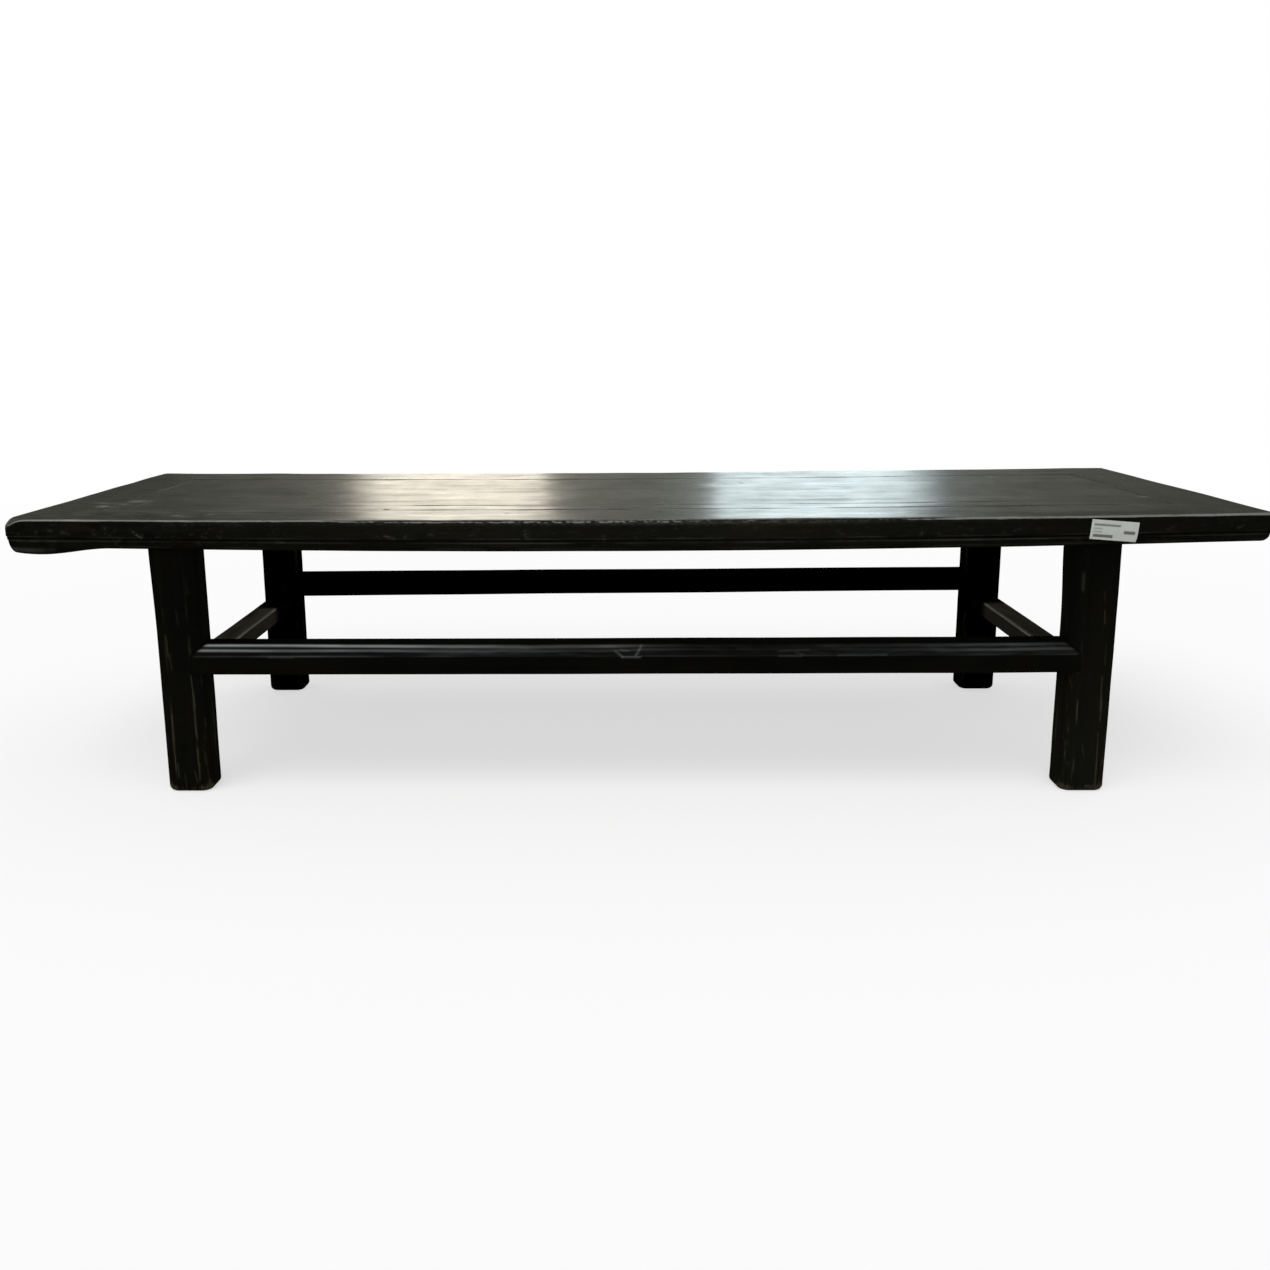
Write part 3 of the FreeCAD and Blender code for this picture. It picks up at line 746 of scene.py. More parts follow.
def rail_wear_and_painted_light(x, y, run, inset, height, seam, on_top, half, width, front, seed):
    """Four values for each point of a rail. The worn_and_highlit value is the pale line along the
    outer arris, frayed into specks where the table says so, its crest and the corners: wear, and
    painted highlight on the rounded arris and corners. The faded_and_highlit value is the
    moulding's pale lines, rubbed and partly painted highlight, the frayed band and the pale marks.
    The joint_and_shade value is the mitres and the inner side, which are dark joints, and the
    hollows and the dim lower moulding, which are painted shade. Dull is the streaks in the gloss
    and a mottle at the left end."""
    drop, strong, dark, fray = 0.9, 1.0, 0, 0
    if front:
        drop, strong, dark, fray = (np.interp(x / MM, arris_wear_and_highlight[0], row) for row in arris_wear_and_highlight[1:])
    speckle = (0.45 + 0.95 * ripple(run, height, 5 * MM, 2.6 * MM, seed + 9)).clip(0, 1.2)
    patchy = 0.95 + 0.2 * ripple(run, run * 0, 45 * MM, 1, seed + 10)
    below = top_height - height
    outer = inset < 3 * MM
    on_side = outer * (below > 5 * MM)
    on_moulding = inset < 16 * MM
    # The pale arris line, its crest and the rounded corners: wear, and painted highlight where the arris
    # rounds.
    line = hump(below - drop * MM, 1.2 * MM) * hump(inset - 0.4 * MM, 2.4 * MM)
    crest_highlight = hump(below - 0.3 * MM, 1.2 * MM) * hump(inset - 1 * MM, 2 * MM) * (dark < 0.1)
    corner = hump(half - np.abs(run), 12 * MM) * hump(inset, 3 * MM)
    worn_and_highlit = line * strong * patchy * (1 - fray + fray * speckle) + 0.42 * crest_highlight + 0.35 * corner

    rubbed_more = 0.9 * hump(x - 430 * MM, 70 * MM) * front
    foot_share = 0.3 + 0.6 * (run < -690 * MM) * front
    # The moulding's pale lines: rubbed, and partly painted highlight on its edges.
    upper = hump(height - upper_line, 0.5 * MM) * line_left(run, seed, 0)
    lower = hump(height - lower_line, 0.75 * MM) * (line_left(run, seed, 1) + rubbed_more)
    foot = hump(height - foot_line, 1.2 * MM) * line_left(run, seed, 2) * foot_share
    band = hump(below - 3.4 * MM, 2.6 * MM) * outer * fray
    faded_and_highlit = (0.6 * upper + 0.75 * lower) * on_side + foot * on_moulding
    faded_and_highlit = faded_and_highlit + band * (0.3 + 0.5 * speckle) + ovals(x, y, pale_marks_and_highlights) * on_top

    # The hollows, and the lower moulding below 326 to 330 mm, are darkened: painted shade.
    hollow_shade = hump(height - upper_hollow, 0.9 * MM) + 0.6 * hump(height - lower_hollow, 0.9 * MM)
    joint_and_shade = seam + ease(inset, width - 2.6 * MM, width - 0.5 * MM)
    joint_and_shade = joint_and_shade + 0.95 * hollow_shade * (inset < 4 * MM)
    joint_and_shade = joint_and_shade + dark * hump(below - 1.3 * MM, 0.8 * MM) * (inset < 2 * MM)
    joint_and_shade = joint_and_shade + 0.3 * (1 - ease(height, 326 * MM, 330 * MM)) * on_moulding
    joint_and_shade = joint_and_shade + 0.2 * ease(run, 340 * MM, 480 * MM) * on_side * front
    if front:
        pale, dim = fascia_marks(x, height, seed)
        faded_and_highlit = faded_and_highlit + pale * on_side
        joint_and_shade = joint_and_shade + dim * on_side

    livelier = 0.65 * (1 - ease(x, -660 * MM, -380 * MM))
    dull = ovals(x, y, dull_streaks) + livelier * ripple(x, y, 24 * MM, 8 * MM, seed + 19)
    return {"worn_and_highlit": worn_and_highlit, "joint_and_shade": joint_and_shade, "faded_and_highlit": faded_and_highlit, "dull": dull}


def rail(name, long_side, sign, seed):
    """One rail of the frame. Its section is carried along the side from mitre to mitre: at each
    inset the run shrinks with the mitre, the outer face follows the outline and its rounded
    corner, and every point then moves along the section's outward direction by the relief.
    Sign is -1 for the front and the left rail, 1 for the other two."""
    widths, halves = (long_rail_width, end_rail_width), (half_length, half_depth)
    width, other_width = widths if long_side else widths[::-1]
    half, other_half = halves if long_side else halves[::-1]
    front = long_side and sign < 0
    section = rail_section(width)
    inset, height = section[:, 0], section[:, 1]
    tangent = np.roll(section, -1, 0) - np.roll(section, 1, 0)
    tangent /= np.linalg.norm(tangent, axis=1)[:, None]
    out_inset, out_height = tangent[:, 1], -tangent[:, 0]
    pick = np.where(height > top_height - 0.7 * MM, 0, 1)
    pick = np.where((out_height < -0.6) & (inset > 16 * MM), 2, pick)

    near = np.array([0, 0.25, 0.6, 1.1, 1.8, 2.8, 4.2, 6, 8, 10.5]) * MM
    middle = np.linspace(-half + 13.5 * MM, half - 13.5 * MM, round(2 * half / rail_step))
    share = np.concatenate([-half + near, middle, half - near[::-1]]) / half
    reach = mitre_reach(inset, half, width, other_width)
    run = share[:, None] * reach[None, :]
    inset, height = (np.broadcast_to(item, run.shape) for item in (inset, height))
    away = outer_line(run, half, other_half, inset)
    x, y = (run, sign * away) if long_side else (sign * away, run)

    on_top = np.clip(out_height, 0, 1)[None, :] ** 2
    seam = hump(reach[None, :] - np.abs(run), 0.7 * MM) * on_top
    arris = hump(inset, 3 * MM) * hump(height - top_height, 4 * MM)
    wander = 0.5 + 0.5 * ripple(run, run * 0, 90 * MM, 1, seed + 5)
    cut = arris * (0.45 * MM * wander + (chipped(run) if front else 0.35 * MM * wander))
    lower = (1 - on_top) * 0.12 * MM * ripple(run, height, 130 * MM, 25 * MM, seed + 7)
    flat_side = (1 - on_top) * (inset < 30 * MM)
    shift = top_relief(x, y, run, away, seed) * on_top - cut
    shift = shift + (lower - 0.28 * MM) * flat_side - 0.45 * MM * seam
    away = away - shift * out_inset[None, :]
    height = height + shift * out_height[None, :]
    x, y = (run, sign * away) if long_side else (sign * away, run)
    axis = "x" if long_side else "y"
    make_piece(
        name, [np.stack([x, y, settled(x, y, height)], -1)],
        [top_finish[axis], edge_finish[axis], under_wood[axis]],
        rail_wear_and_painted_light(x, y, run, inset, height, seam, on_top, half, width, front, seed), pick,
    )


def board_side(edge, tongue):
    """Section rows up one side of a board: its foot, its tongue if it has one, its shoulder."""
    rows = [(edge, board_bottom), (edge, tongue_bottom)]
    if tongue:
        rows += [(edge + tongue, tongue_bottom), (edge + tongue, tongue_top)]
    return rows + [(edge, tongue_top)]


def board(name, front, back, seed, front_seam, back_seam, front_tongue, back_tongue):
    """One board of the panel: a flat slab with rounded upper arrises, its top face on a fine grid
    raised and sunk by the relief. Its ends stop short of the end rails but for a tongue, and
    tongues of the given lengths stand out along its sides. A seam share below 1 makes the dark
    line on that side finer and fainter."""
    half = half_length - end_rail_width - panel_gap
    joint_round = 1.3 * MM
    front_round, back_round = joint_round * front_seam, joint_round * back_seam
    turn = np.linspace(0, math.pi / 2, 5)
    rows = board_side(front, -front_tongue)
    rows += quarter_round(front, front_round, turn[:-1])
    flat = np.linspace(front + front_round, back - back_round, round((back - front) / board_step))
    rows += [(place, top_height) for place in flat]
    rows += quarter_round(back, -back_round, turn[::-1][1:])
    rows += board_side(back, back_tongue)[::-1]
    rows += [(place, board_bottom) for place in np.linspace(back - 4 * MM, front + 4 * MM, 7)]
    across, rise = np.array(rows).T
    near = np.array([0, 0.15, 0.4, 0.8, 1.4]) * MM
    middle = np.linspace(-half + 2.8 * MM, half - 2.8 * MM, round(2 * half / board_step))
    end = np.array([half, half + tongue_length])
    run = np.concatenate([-end[::-1], -half + near, middle, half - near[::-1], end])
    in_tongue = np.zeros((len(run), 1), bool)
    in_tongue[[0, 1, -2, -1]] = True
    x = np.broadcast_to(run[:, None], (len(run), len(across)))
    y = np.broadcast_to(across[None, :], x.shape)
    z = np.broadcast_to(rise[None, :], x.shape)
    on_top = (z > top_height - joint_round).astype(float)
    end_gap = half - np.abs(x)
    fall = 1.3 * MM * (1 - np.sqrt(np.clip(1 - (1 - np.clip(end_gap / (1.4 * MM), 0, 1)) ** 2, 0, 1)))
    z = z + on_top * (top_relief(x, y, x, y, seed) - fall)
    z = np.where(in_tongue, np.clip(z, tongue_bottom, tongue_top), z)
    worn_and_highlit = 0.12 * (hump(y - front, 3 * MM) + hump(y - back, 3 * MM)) * on_top
    faded_and_highlit = ovals(x, y, pale_marks_and_highlights) * on_top
    dull = ovals(x, y, dull_streaks)
    uneven = 0.85 + 0.3 * ripple(x, x * 0, 70 * MM, 1, seed + 6)
    edges = ((y - front, front_seam), (back - y, back_seam), (end_gap, 0.5))
    seams = [share * (1 - ease(gap, 0.2 * MM, 2.6 * MM * share)) for gap, share in edges]
    joint_and_shade = on_top * uneven * np.maximum(np.maximum(seams[0], seams[1]), seams[2])
    joint_and_shade = joint_and_shade + (1 - on_top) * (z > board_bottom)
    under = np.zeros(len(across), int)
    under[-8:] = 1
    make_piece(
        name, [np.stack([x, y, settled(x, y, z)], -1)],
        [top_finish["x"], under_wood["x"]],
        {"worn_and_highlit": worn_and_highlit, "joint_and_shade": joint_and_shade, "faded_and_highlit": faded_and_highlit, "dull": dull}, under,
    )


def rounded_ring(half_a, half_b, radius, flat_a, flat_b):
    """Points round a rectangle with rounded corners, anticlockwise with a to the right and b up:
    each corner is an arc, each side has points at the given places, listed from + to -."""
    edge = np.array([0, 0.5, 1, 1.8, 3.2]) / 29
    turn = np.concatenate([edge, [0.25, 0.5, 0.75], 1 - edge[::-1]]) * math.pi / 2
    ring = []
    corners = ((1, 1, 0), (-1, 1, 1), (-1, -1, 2), (1, -1, 3))
    for sign_a, sign_b, quarter in corners:
        angle = turn + quarter * math.pi / 2
        centre_a = sign_a * (half_a - radius)
        centre_b = sign_b * (half_b - radius)
        ring.append(np.stack([centre_a + radius * np.cos(angle), centre_b + radius * np.sin(angle)], -1))
        if quarter in (0, 2):
            places = flat_a * (1 if quarter == 0 else -1)
            ring.append(np.stack([places, np.full(len(places), sign_b * half_b)], -1))
        else:
            places = flat_b * (1 if quarter == 1 else -1)
            ring.append(np.stack([np.full(len(places), sign_a * half_a), places], -1))
    return np.concatenate(ring)


# Scuffs on the fronts of the front legs: place across from the leg's middle and height of both
# ends, then strength
left_leg_scuffs = (
    (19, 292, 18, 262, 0.35), (14, 157, 16, 116, 0.6), (-14, 208, -13, 182, 0.5), (-11, 184, -10, 164, 0.4),
    (22, 114, 23, 90, 0.45), (-12, 40, -12, 21, 0.6), (16, 39, 15, 17, 0.6), (-4, 25, -3, 7, 0.35),
    (9, 28, 12, 13, 0.4), (24, 60, 23, 40, 0.3), (2, 240, 3, 222, 0.2), (-24, 300, -22, 282, 0.2),
)
right_leg_scuffs = (
    (-17, 284, -17, 261, 0.55), (10, 237, 11, 220, 0.5), (-15, 119, -14, 92, 0.6), (13, 152, 14, 107, 0.5),
    (-14, 45, -13, 29, 0.45), (3, 7, 14, 6, 0.7), (14, 80, 15, 30, 0.45), (-24, 128, -23, 108, 0.3),
    (-5, 64, -2, 49, 0.3), (-20, 40, -19, 24, 0.35), (8, 262, 9, 250, 0.2), (-18, 175, -17, 158, 0.35),
)


def leg(name, side, face, seed, scuffs=(), widening=0):
    """One leg: a rounded square ring carried up from the floor, drawn in over a quarter round at the
    foot. A fine raised thread runs where each outward face passes into its rounded arrises, worn
    away in places. The inward faces of the back legs take a far darker copy of the lacquer,
    which is painted shade. Towards its top the leg may widen a little to the left. Side is -1
    for the left legs and 1 for the right ones, face is 1 for the front legs and -1 for the back
    ones."""
    hair = 0.001 * MM
    half_a = (leg_outer - leg_inner) / 2
    half_b = (leg_back - leg_front) / 2
    flat_half_a, flat_half_b = half_a - leg_round, half_b - leg_round
    centre_x = side * (leg_inner + leg_outer) / 2
    centre_y = face * (leg_front + leg_back) / 2
    flats = [np.linspace(1, -1, 27) * (half - 0.6 * MM) for half in (flat_half_a, flat_half_b)]
    ring = rounded_ring(half_a, half_b, leg_round, *flats)
    foot = foot_round * (1 - np.cos(np.linspace(0, math.pi / 2, 8)))
    rise = np.concatenate([foot[:-1], np.linspace(foot_round, leg_top, 92)])
    drawn = np.sqrt(np.clip(foot_round ** 2 - (foot_round - rise).clip(0) ** 2, 0, None))
    drawn = foot_round - drawn
    a, b = ring[None, :, 0], ring[None, :, 1]
    z = np.broadcast_to(rise[:, None], (len(rise), ring.shape[0]))
    in_corner = (np.abs(a) > flat_half_a + hair) & (np.abs(b) > flat_half_b + hair)
    out_a = np.where(np.abs(a) > half_a - hair, np.sign(a), 0)
    out_b = np.where(np.abs(b) > half_b - hair, np.sign(b), 0)
    out_a = np.where(in_corner, (a - np.sign(a) * flat_half_a) / leg_round, out_a)
    out_b = np.where(in_corner, (b - np.sign(b) * flat_half_b) / leg_round, out_b)
    bend = leg_round * np.arctan2(np.abs(out_a), np.abs(out_b))
    past_a = np.where(in_corner, bend, flat_half_a - np.abs(a))
    bend = leg_round * np.arctan2(np.abs(out_b), np.abs(out_a))
    past_b = np.where(in_corner, bend, flat_half_b - np.abs(b))

    wander = 0.7 * MM * ripple(z, z * 0, 60 * MM, 1, seed + 1)
    thread = hump(past_a - wander, 0.9 * MM) * (out_b > 0.7)
    thread = thread + hump(past_b - wander, 0.9 * MM) * (out_a > 0.7)
    round_about = np.arctan2(b, a) * 20 * MM
    above_foot = z > foot_round
    rough = 0.14 * MM * ripple(z, round_about, 70 * MM, 16 * MM, seed) * above_foot
    shift = -drawn[:, None] + 0.3 * MM * thread * above_foot + rough - 0.34 * MM
    x = centre_x + side * (a + shift * out_a)
    x = x - widening * ease(z, 205 * MM, 325 * MM) * (0.5 - (x - centre_x) / (2 * half_a))
    y = centre_y - face * (b + shift * out_b)

    low = 1 - ease(z, 20 * MM, 330 * MM)
    left = (0.45 + 0.75 * ripple(z, round_about, 34 * MM, 60 * MM, seed + 2)).clip(0, 1)
    arris = in_corner * hump(np.abs(np.abs(out_a) - np.abs(out_b)), 0.45)
    inner_face = a < hair - half_a
    rubbed = inner_face * hump(b + 2 * MM, 2 * MM) * hump(z - 88 * MM, 45 * MM)
    worn_and_highlit = thread * left * (0.12 + 0.36 * low) + 0.1 + 0.16 * low
    worn_and_highlit = worn_and_highlit + arris * (0.08 + 0.14 * low) + 0.5 * rubbed
    faded_and_highlit = 0.14 * thread * left * (0.15 + low) + 0.02 * inner_face
    faded_and_highlit = (faded_and_highlit + (0.012 + 0.028 * (side > 0)) * low) * (face > 0)
    if face > 0:
        worn_and_highlit = worn_and_highlit + 0.45 * hump(z, 9 * MM) * in_corner + 0.25 * hump(z - 3 * MM, 6 * MM)
    else:
        seen_corner = hump(np.arctan2(out_b, out_a) + math.pi * 0.87, 0.13) * in_corner
        faded_and_highlit = faded_and_highlit + 0.3 * seen_corner * ease(z, 175 * MM, 260 * MM)
    faded_and_highlit = faded_and_highlit + 0.5 * strokes(side * a, z, scuffs, 0.7 * MM) * (out_b > 0.6)
    joint_and_shade = 0.9 * ease(z, 318 * MM, 321 * MM)
    inward = ((b < 0) | (a < leg_round - half_a))[0]
    make_piece(
        name, [np.stack([x, y, z], -1)], [leg_finish, painted_shade_finish],
        {"worn_and_highlit": worn_and_highlit, "joint_and_shade": joint_and_shade, "faded_and_highlit": faded_and_highlit}, inward & (face < 0),
    )


# Scars on the front stretcher: start and end of each stroke, x and height, then strength
scars = (
    (-21, 188, -12, 180.2, 0.2), (-12, 180.2, 10, 180, 0.2), (5, 182.5, 11.5, 193, 0.24),
    (-15, 189, -4, 187.5, 0.1), (184, 187, 221, 188, 0.04), (184, 181, 212, 180.5, 0.06),
    (205, 185, 216, 182.5, 0.05), (258, 181.5, 318, 181.8, 0.07), (-460, 180.4, -428, 180, 0.06),
)

# Wear and painted light along the beads: x; how far the upper crest, the lower crest and the line
# below them are rubbed pale and painted as highlights, how far the whole round has a pale painted
# sheen, how dark the hollow between the crests is painted as shade, and the angles at which the
# crests lie
bead_wear_and_painted_light = (
    (-540, -430, -330, -230, -130, -30, 20, 75, 170, 270, 370, 470, 545),
    (1.05, 1.15, 0.86, 0.4, 0.2, 0.25, 0.06, 0.01, 0.0, 0.015, 0.04, 0.13, 0.04),
    (0.58, 0.38, 0.24, 0.11, 0.05, 0.06, 0.06, 0.02, 0.01, 0.015, 0.02, 0.14, 0.07),
    (0.06, 0.09, 0.08, 0.05, 0.02, 0.04, 0.06, 0.04, 0.03, 0.04, 0.03, 0.06, 0.05),
    (0.01, 0.015, 0.025, 0.055, 0.05, 0.02, 0.02, 0.008, 0.01, 0.024, 0.03, 0.035, 0.03),
    (0.9, 0.9, 0.8, 0.4, 0.1, 0.3, 0.4, 0.2, 0.1, 0.3, 0.35, 0.5, 0.6),
    (59, 58, 53, 49, 46, 50, 53, 53, 53, 53, 54, 60, 62),
    (21, 20, 22, 18, 18, 20, 28, 27, 26, 25, 24, 24, 28),
)


def stretcher_section():
    """Section of a long stretcher as y and height: down the oval quarter over its front arris,
    down the front face, back below, up the back face and forward over the top. The third row
    is the angle on the oval in degrees, -60 elsewhere; the number is the rows in front."""
    turn = np.radians(np.linspace(90, 0, 46))
    soft = 1.2 * MM
    lap_back = leg_front + leg_round
    oval_y = lap_back - leg_round * np.cos(turn)
    oval_z = stretcher_top - bead_height + bead_height * np.sin(turn)
    face_z = np.array([182.2, 181.6, 181, 180.4, 179.6, 178.6, 177, 174.5, 172, 169, 166, 163]) * MM
    face_z = np.concatenate([face_z, stretcher_bottom + soft * np.array([1, 0.35, 0])])
    face_y = leg_front + soft * np.concatenate([np.zeros(13), [0.35, 1]])
    hair = 0.01 * MM
    below_y = np.array([-260 * MM, lap_back - hair, lap_back + hair, -245 * MM, -235 * MM])
    back_y = stretcher_back - soft * np.array([1, 0, 0, 0, 1])
    back_z = [stretcher_bottom, stretcher_bottom + soft, 177 * MM, stretcher_top - soft, stretcher_top]
    top_y = np.array([-231, -238, -245, -250.5]) * MM
    section_y = np.concatenate([oval_y, face_y, below_y, back_y, top_y])
    below_z, top_z = np.full(5, stretcher_bottom), np.full(4, stretcher_top)
    section_z = np.concatenate([oval_z, face_z, below_z, back_z, top_z])
    angle = np.concatenate([np.degrees(turn), np.full(len(section_y) - len(turn), -60.0)])
    return section_y, section_z, angle, len(oval_y) + len(face_y)


def long_stretcher(name, face, seed):
    """The front or back stretcher: a beaded section carried along x. Its rounded front arris is an
    oval quarter with two hollow lines; the ends stop on a mitre over the leg's rounded arris and
    run straight into the leg behind it."""
    section_y, section_z, angle, rows_in_front = stretcher_section()
    rise = np.clip((section_z - (stretcher_top - bead_height)) / bead_height, 0, 1)
    in_lap = section_y < leg_front + leg_round
    reach = np.where(in_lap, leg_inner + leg_round * (1 - rise), leg_inner + housed)
    full_reach = leg_inner + 10 * MM
    near = np.array([0, 0.3, 0.8, 1.6, 3, 5, 8, 12]) * MM
    middle = np.linspace(-leg_inner + 6 * MM, leg_inner - 6 * MM, 560)
    share = np.concatenate([near - full_reach, middle, full_reach - near[::-1]]) / full_reach
    x = share[:, None] * reach[None, :]
    angle = angle[None, :]
    angle = angle - (3.5 - 5 * x / leg_inner) * ease(angle, -5, 20)
    wear_and_light = [np.interp(x / MM, bead_wear_and_painted_light[0], row) for row in bead_wear_and_painted_light[1:]]
    crest_highlight, low_crest_highlight, line_highlight_kept, haze_sheen, hollow_shade, crest_at, low_crest_at = wear_and_light
    hollow_at, low_hollow_at = (crest_at + low_crest_at) / 2, low_crest_at - 15

    swell = 0.15 * (hump(angle - low_crest_at, 8) + hump(angle - crest_at, 9))
    swell = swell - 0.75 * (hump(angle - low_hollow_at, 4.5) + hump(angle - hollow_at, 4.5))
    swell = swell * MM * ease(angle, -20, 0)
    y = section_y[None, :] - swell * np.cos(np.radians(angle))
    z = section_z[None, :] + 0.8 * swell * np.sin(np.radians(angle))
    wave = 0.18 * MM * ripple(x, y + z, 160 * MM, 30 * MM, seed)
    ending = ease(full_reach - np.abs(x), 0, 25 * MM)
    y = y - (wave * ending + 0.2 * MM) * in_lap[None, :]
    z = z + 0.3 * MM * ripple(x, x * 0, 240 * MM, 1, seed + 3) * ending
    height = z
    if face > 0:
        z = z - 0.7 * MM * (1 - (x / leg_inner) ** 2).clip(0, 1)
        z = z - 1.3 * MM * (1 - ease(height, stretcher_bottom, stretcher_bottom + 20 * MM))
    else:
        to_right = x / (460 * MM)
        low_lift = (4.0 + 2.4 * to_right) * MM
        high_lift = (3.1 + 1.2 * to_right) * MM
        z = z + low_lift + (high_lift - low_lift) * ease(z, stretcher_bottom, stretcher_top)

    to_mitre = reach[None, :] - np.abs(x)
    kept = ease(to_mitre, 2 * MM, 7 * MM)
    # The pale crests, the third line and the haze over the round are painted highlights and sheen with some
    # rubbing; the scars below are real.
    faded_and_highlit = 0.95 * crest_highlight * hump(angle - crest_at, 11)
    faded_and_highlit = faded_and_highlit + 0.95 * low_crest_highlight * hump(angle - low_crest_at, 7.5)
    faded_and_highlit = faded_and_highlit * (1 + 0.16 * ripple(x, z, 60 * MM, 8 * MM, seed + 4))
    uneven = (1 + 0.45 * ripple(x, z, 26 * MM, 4 * MM, seed + 6)).clip(0.2, 2)
    on_oval = ease(angle, -20, 10) * (1 - ease(angle, 58, 74))
    faded_and_highlit = (faded_and_highlit + haze_sheen * uneven * on_oval) * kept
    # The hollows between the crests are darkened with painted shade; the mitre line is a dark joint.
    joint_and_shade = 0.5 * (0.4 + hollow_shade) * hump(angle - low_hollow_at, 4) + hollow_shade * hump(angle - hollow_at, 4)
    joint_and_shade = joint_and_shade + 0.7 * hump(to_mitre, 0.8 * MM)
    flat_front = (section_y < leg_front + 0.5 * MM)[None, :]
    third_line_highlight = hump(height - 181.4 * MM, 0.9 * MM) * line_highlight_kept * kept
    third_line_highlight = third_line_highlight * (1.1 + 0.5 * ripple(x, x * 0, 50 * MM, 1, seed + 5))
    faded_and_highlit = faded_and_highlit + flat_front * third_line_highlight
    if face > 0:
        faded_and_highlit = faded_and_highlit + strokes(x, height, scars, 1.1 * MM) * (angle < 80)
    # The back stretcher's inward faces take the far darker copy of the lacquer: painted shade.
    behind = np.arange(len(section_y)) >= rows_in_front
    make_piece(
        name, [np.stack([x, face * y, z], -1)], [bead_finish, painted_shade_finish],
        {"joint_and_shade": joint_and_shade, "faded_and_highlit": faded_and_highlit}, behind & (face < 0),
    )


def bar(axis, low, high, arris, pieces):
    """A straight bar between two corners along one axis: a rectangle with small rounded arrises,
    carried along the axis in the given number of pieces. Returns its rings, and which of their
    points lie on an arris."""
    low, high = np.array(low), np.array(high)
    middle, half = (low + high) / 2, (high - low) / 2
    a, b = [i for i in range(3) if i != axis]
    flat_a = np.linspace(half[a] - arris - 1 * MM, -(half[a] - arris - 1 * MM), 6)
    flat_b = np.linspace(half[b] - arris - 1 * MM, -(half[b] - arris - 1 * MM), 6)
    ring = rounded_ring(half[a], half[b], arris, flat_a, flat_b)
    run = np.linspace(low[axis], high[axis], pieces + 1)
    rings = np.zeros((len(run), len(ring), 3))
    rings[..., axis] = run[:, None]
    rings[..., a] = middle[a] + ring[None, :, 0]
    rings[..., b] = middle[b] + ring[None, :, 1]
    corner = (np.abs(ring[:, 0]) > half[a] - arris) & (np.abs(ring[:, 1]) > half[b] - arris)
    return rings, np.broadcast_to(corner[None, :], rings.shape[:2])


def side_stretcher(name, side, seed):
    """A side stretcher: a plain bar along y with rounded arrises. Its inner top arris is pale with
    wear and painted highlight, its top face pale with wear and painted sheen, and both ends darken
    with the painted shadow of the legs.
    """
    centre = side * (leg_inner + leg_outer) / 2
    low = (centre - side_stretcher_half_width, leg_back - housed, side_stretcher_bottom)
    high = (centre + side_stretcher_half_width, -leg_back + housed, side_stretcher_top)
    rings, corner = bar(1, low, high, 3 * MM, 120)
    x, y, z = rings[..., 0], rings[..., 1], rings[..., 2]
    rough = 0.2 * MM * ripple(y, x + z, 120 * MM, 20 * MM, seed)
    upper = z > 150 * MM
    lowered = z + (rough - 0.2 * MM) * upper
    moved = x + 0.15 * MM * ripple(y, z, 160 * MM, 40 * MM, seed + 2) * corner
    # Pale in the middle, fading out towards both ends: trodden wear, held back where the painted shadow of
    # the legs falls.
    trodden_and_unshadowed = 1 - ease(np.abs(y) - 10 * MM * side, 118 * MM, 152 * MM)
    top_face = z > side_stretcher_top - 1 * MM
    inward = corner * (x * side < abs(centre)) * upper
    worn_and_highlit = (0.95 * inward * (0.35 + 0.65 * trodden_and_unshadowed) + 0.3 * corner) * (0.3 + 0.7 * trodden_and_unshadowed)
    inner_side = (x * side < abs(centre) - side_stretcher_half_width + 1 * MM) * (z < 158 * MM)
    # The pale top face is trodden wear and painted sheen.
    faded_and_highlit = trodden_and_unshadowed * (0.85 * top_face + 0.16 * inner_side)
    faded_and_highlit = faded_and_highlit * (0.9 + 0.3 * ripple(y, x, 90 * MM, 14 * MM, seed + 3)) + 0.06 * inner_side
    # Both ends darken: the painted shadow of the legs on the stretcher.
    joint_and_shade = 0.97 * ease(np.abs(y) - 10 * MM * side, 122 * MM, 158 * MM)
    make_piece(
        name, [np.stack([moved, y, lowered], -1)], [rung_finish],
        {"worn_and_highlit": worn_and_highlit, "joint_and_shade": joint_and_shade, "faded_and_highlit": faded_and_highlit},
    )


def batten(name, x, seed):
    """A batten under the panel: a bar along y with eased arrises that follows the bowed panel."""
    half = half_depth - long_rail_width + 1 * MM
    low = (x - batten_half_width, -half, frame_bottom + 4 * MM)
    high = (x + batten_half_width, half, board_bottom + housed)
    rings = bar(1, low, high, 2 * MM, 60)[0]
    rings[..., 0] += 0.3 * MM * ripple(rings[..., 1], rings[..., 2], 120 * MM, 30 * MM, seed)
    rings[..., 2] = settled(rings[..., 0], rings[..., 1], rings[..., 2])
    make_piece(name, [rings], [under_wood["y"]], {})


def peg(centre, heading):
    """The end of a wooden peg: rings drawn over a low dome that stands 0.45 mm proud."""
    turn = np.linspace(0, math.pi / 2, 6)
    rise = np.concatenate([[-4 * MM, -0.2 * MM], 0.45 * MM * np.sin(turn)])
    spread = peg_radius * np.concatenate([[1, 1], 0.55 + 0.45 * np.cos(turn)])
    about = np.linspace(0, 2 * math.pi, 25)[:-1]
    heading = np.array(heading, float)
    first = np.cross(heading, (0.3, 0.8, 0.5))
    first /= np.linalg.norm(first)
    second = np.cross(heading, first)
    circle = np.cos(about)[:, None] * first + np.sin(about)[:, None] * second
    return np.array(centre) + rise[:, None, None] * heading + spread[:, None, None] * circle


